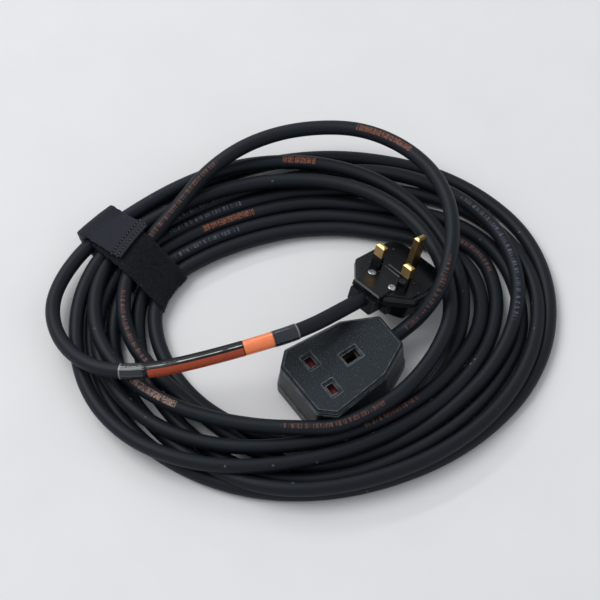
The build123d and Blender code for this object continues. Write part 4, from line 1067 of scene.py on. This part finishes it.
pale_plastic = plain_plastic("pale_plastic", (0.56, 0.52, 0.43), (0.66, 0.62, 0.53), 0.45)
# Near-black plastic for the socket's carrier: painted shade inside the apertures, in place of its pale
# colour.
painted_shade_plastic = plain_plastic("painted_shade_plastic", (0.010, 0.009, 0.008), (0.018, 0.016, 0.014), 0.5)
red_plastic = plain_plastic("red_plastic", (0.115, 0.007, 0.007), (0.17, 0.013, 0.012), 0.4)
fuse_ceramic = plain_plastic("fuse_ceramic", (0.72, 0.69, 0.62), (0.80, 0.78, 0.72), 0.2)
brown_insulation = plain_plastic("brown_insulation", (0.09, 0.03, 0.012), (0.13, 0.045, 0.018), 0.4)
blue_insulation = plain_plastic("blue_insulation", (0.012, 0.05, 0.26), (0.02, 0.08, 0.34), 0.4)

# %% Earth core stripes
earth_insulation, tree, skin = start_material("earth_insulation", {"Roughness": 0.4})
where = add(tree, "ShaderNodeTexCoord")
spiral = add(tree, "ShaderNodeTexWave", {"Scale": 90.0}, wave_type="BANDS", bands_direction="DIAGONAL")
split = ramp(tree, 0.46, 0.54)
join(tree, (where, "Object", spiral, "Vector"), (spiral, "Fac", split, "Value"))
colour = mix_colour(tree, split.outputs["Result"], (0.03, 0.22, 0.04), (0.62, 0.52, 0.03))
join(tree, (colour, skin.inputs["Base Color"]))

# %% Metals
def metal(name, dark, light, roughness, scratch_scale):
    made, tree, skin = start_material(name, {"Metallic": 1.0})
    where = add(tree, "ShaderNodeTexCoord")
    stretched = add(tree, "ShaderNodeMapping", {"Scale": scratch_scale})
    scratches = add(tree, "ShaderNodeTexNoise", {"Scale": 1.0, "Detail": 5.0, "Roughness": 0.65})
    dulled = ramp(tree, 0.0, 1.0, to=roughness)
    join(tree,
         (where, "Object", stretched, "Vector"),
         (stretched, "Vector", scratches, "Vector"),
         (scratches, "Fac", dulled, "Value"),
         (dulled, "Result", skin, "Roughness"))
    mottle(tree, skin, dark, light, scale=150.0, detail=4.0)
    bump(tree, skin, scratches.outputs["Fac"], 0.15, 0.1 * MM)
    return made


brass = metal("brass", (0.42, 0.27, 0.10), (0.66, 0.47, 0.23), (0.20, 0.46), (1400.0, 1400.0, 220.0))
steel = metal("zinc_steel", (0.42, 0.47, 0.50), (0.62, 0.68, 0.72), (0.26, 0.52), (900.0, 900.0, 900.0))

# %% [markdown]
# Deep inside the socket the contact leaves have gone brown, except where the pins rub their
# edges bright.

# %% Worn contacts
contact_brass, tree, skin = start_material("contact_brass", {"Metallic": 1.0, "Roughness": 0.45})
rub = use_group(tree, edge_group, width=0.4 * MM)
colour = mix_colour(tree, rub.outputs["Mask"], (0.07, 0.045, 0.02), (0.95, 0.74, 0.44))
join(tree, (colour, skin.inputs["Base Color"]))

# %% [markdown]
# ## Dressing the solids
# The record says which stuff each part is made of, so the surfaces are dealt out from it.
# A few parts have a look of their own. The socket's carrier is coloured near black instead of
# its pale plastic, as painted shade inside the apertures.

# %% Deal out surfaces
SURFACES = {
    "case_rubber": case_rubber, "black_plastic": black_plastic, "pale_plastic": pale_plastic,
    "red_plastic": red_plastic, "brass": brass, "steel": steel, "fuse_ceramic": fuse_ceramic,
    "brown_insulation": brown_insulation, "blue_insulation": blue_insulation,
    "earth_insulation": earth_insulation, "cord_rubber": cord_rubber, "dark_label": dark_label,
    "orange_label": orange_label, "clear_sleeve": clear_sleeve, "tie_fabric": strap_cloth,
}
OWN_LOOKS = {
    "plug_cover": cover_rubber, "socket_carrier": painted_shade_plastic, "socket_live_contact": contact_brass,
    "socket_neutral_contact": contact_brass, "socket_earth_contact": contact_brass,
}
for part in frame["record"]["subparts"]:
    solid = nodes[part["node"]]
    if not solid.material_slots:
        solid.data.materials.append(None)
    for slot in solid.material_slots:
        slot.material = OWN_LOOKS.get(part["node"], SURFACES[part["material_slot"]])

# %% [markdown]
# ## The shutter's spring
# A bowed leaf of spring steel pushes the red shutter shut. When a pin drives the shutter back,
# the bow flattens against the end of its channel. The solid can't bend, so a leaf of the same
# size stands in for it.

# %% Leaf spring
LEAF_SHEET = 0.4 * MM
LEAF_STEPS = 25

low, high = (np.array(corner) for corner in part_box("shutter_spring"))
half_span = (high[1] - low[1]) / 2 - LEAF_SHEET / 2
rise = high[0] - low[0] - LEAF_SHEET
bow_radius = (half_span ** 2 + rise ** 2) / (2 * rise)
sweep = np.arcsin(half_span / bow_radius) * np.linspace(-1, 1, LEAF_STEPS)
bow_x = low[0] + LEAF_SHEET / 2 + bow_radius * (1 - np.cos(sweep))
bow_y = (low[1] + high[1]) / 2 + bow_radius * np.sin(sweep)
leaf_points = [(x, y, z) for z in (low[2], high[2]) for x, y in zip(bow_x, bow_y)]
leaf_faces = [(i, i + 1, LEAF_STEPS + i + 1, LEAF_STEPS + i) for i in range(LEAF_STEPS - 1)]
leaf_sheet = new_mesh("leaf_sheet", leaf_points, faces=leaf_faces)
leaf_sheet.materials.append(steel)
holder = put("leaf_base", leaf_sheet)
thicken = holder.modifiers.new("thickness", "SOLIDIFY")
thicken.thickness = LEAF_SHEET
thicken.offset = 0.0
leaf_spring = put("leaf_spring", as_mesh(holder))
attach(leaf_spring, "lead")
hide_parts("shutter_spring")
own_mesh(leaf_spring)
print("leaf spring rises", round(rise / MM, 2), "mm")
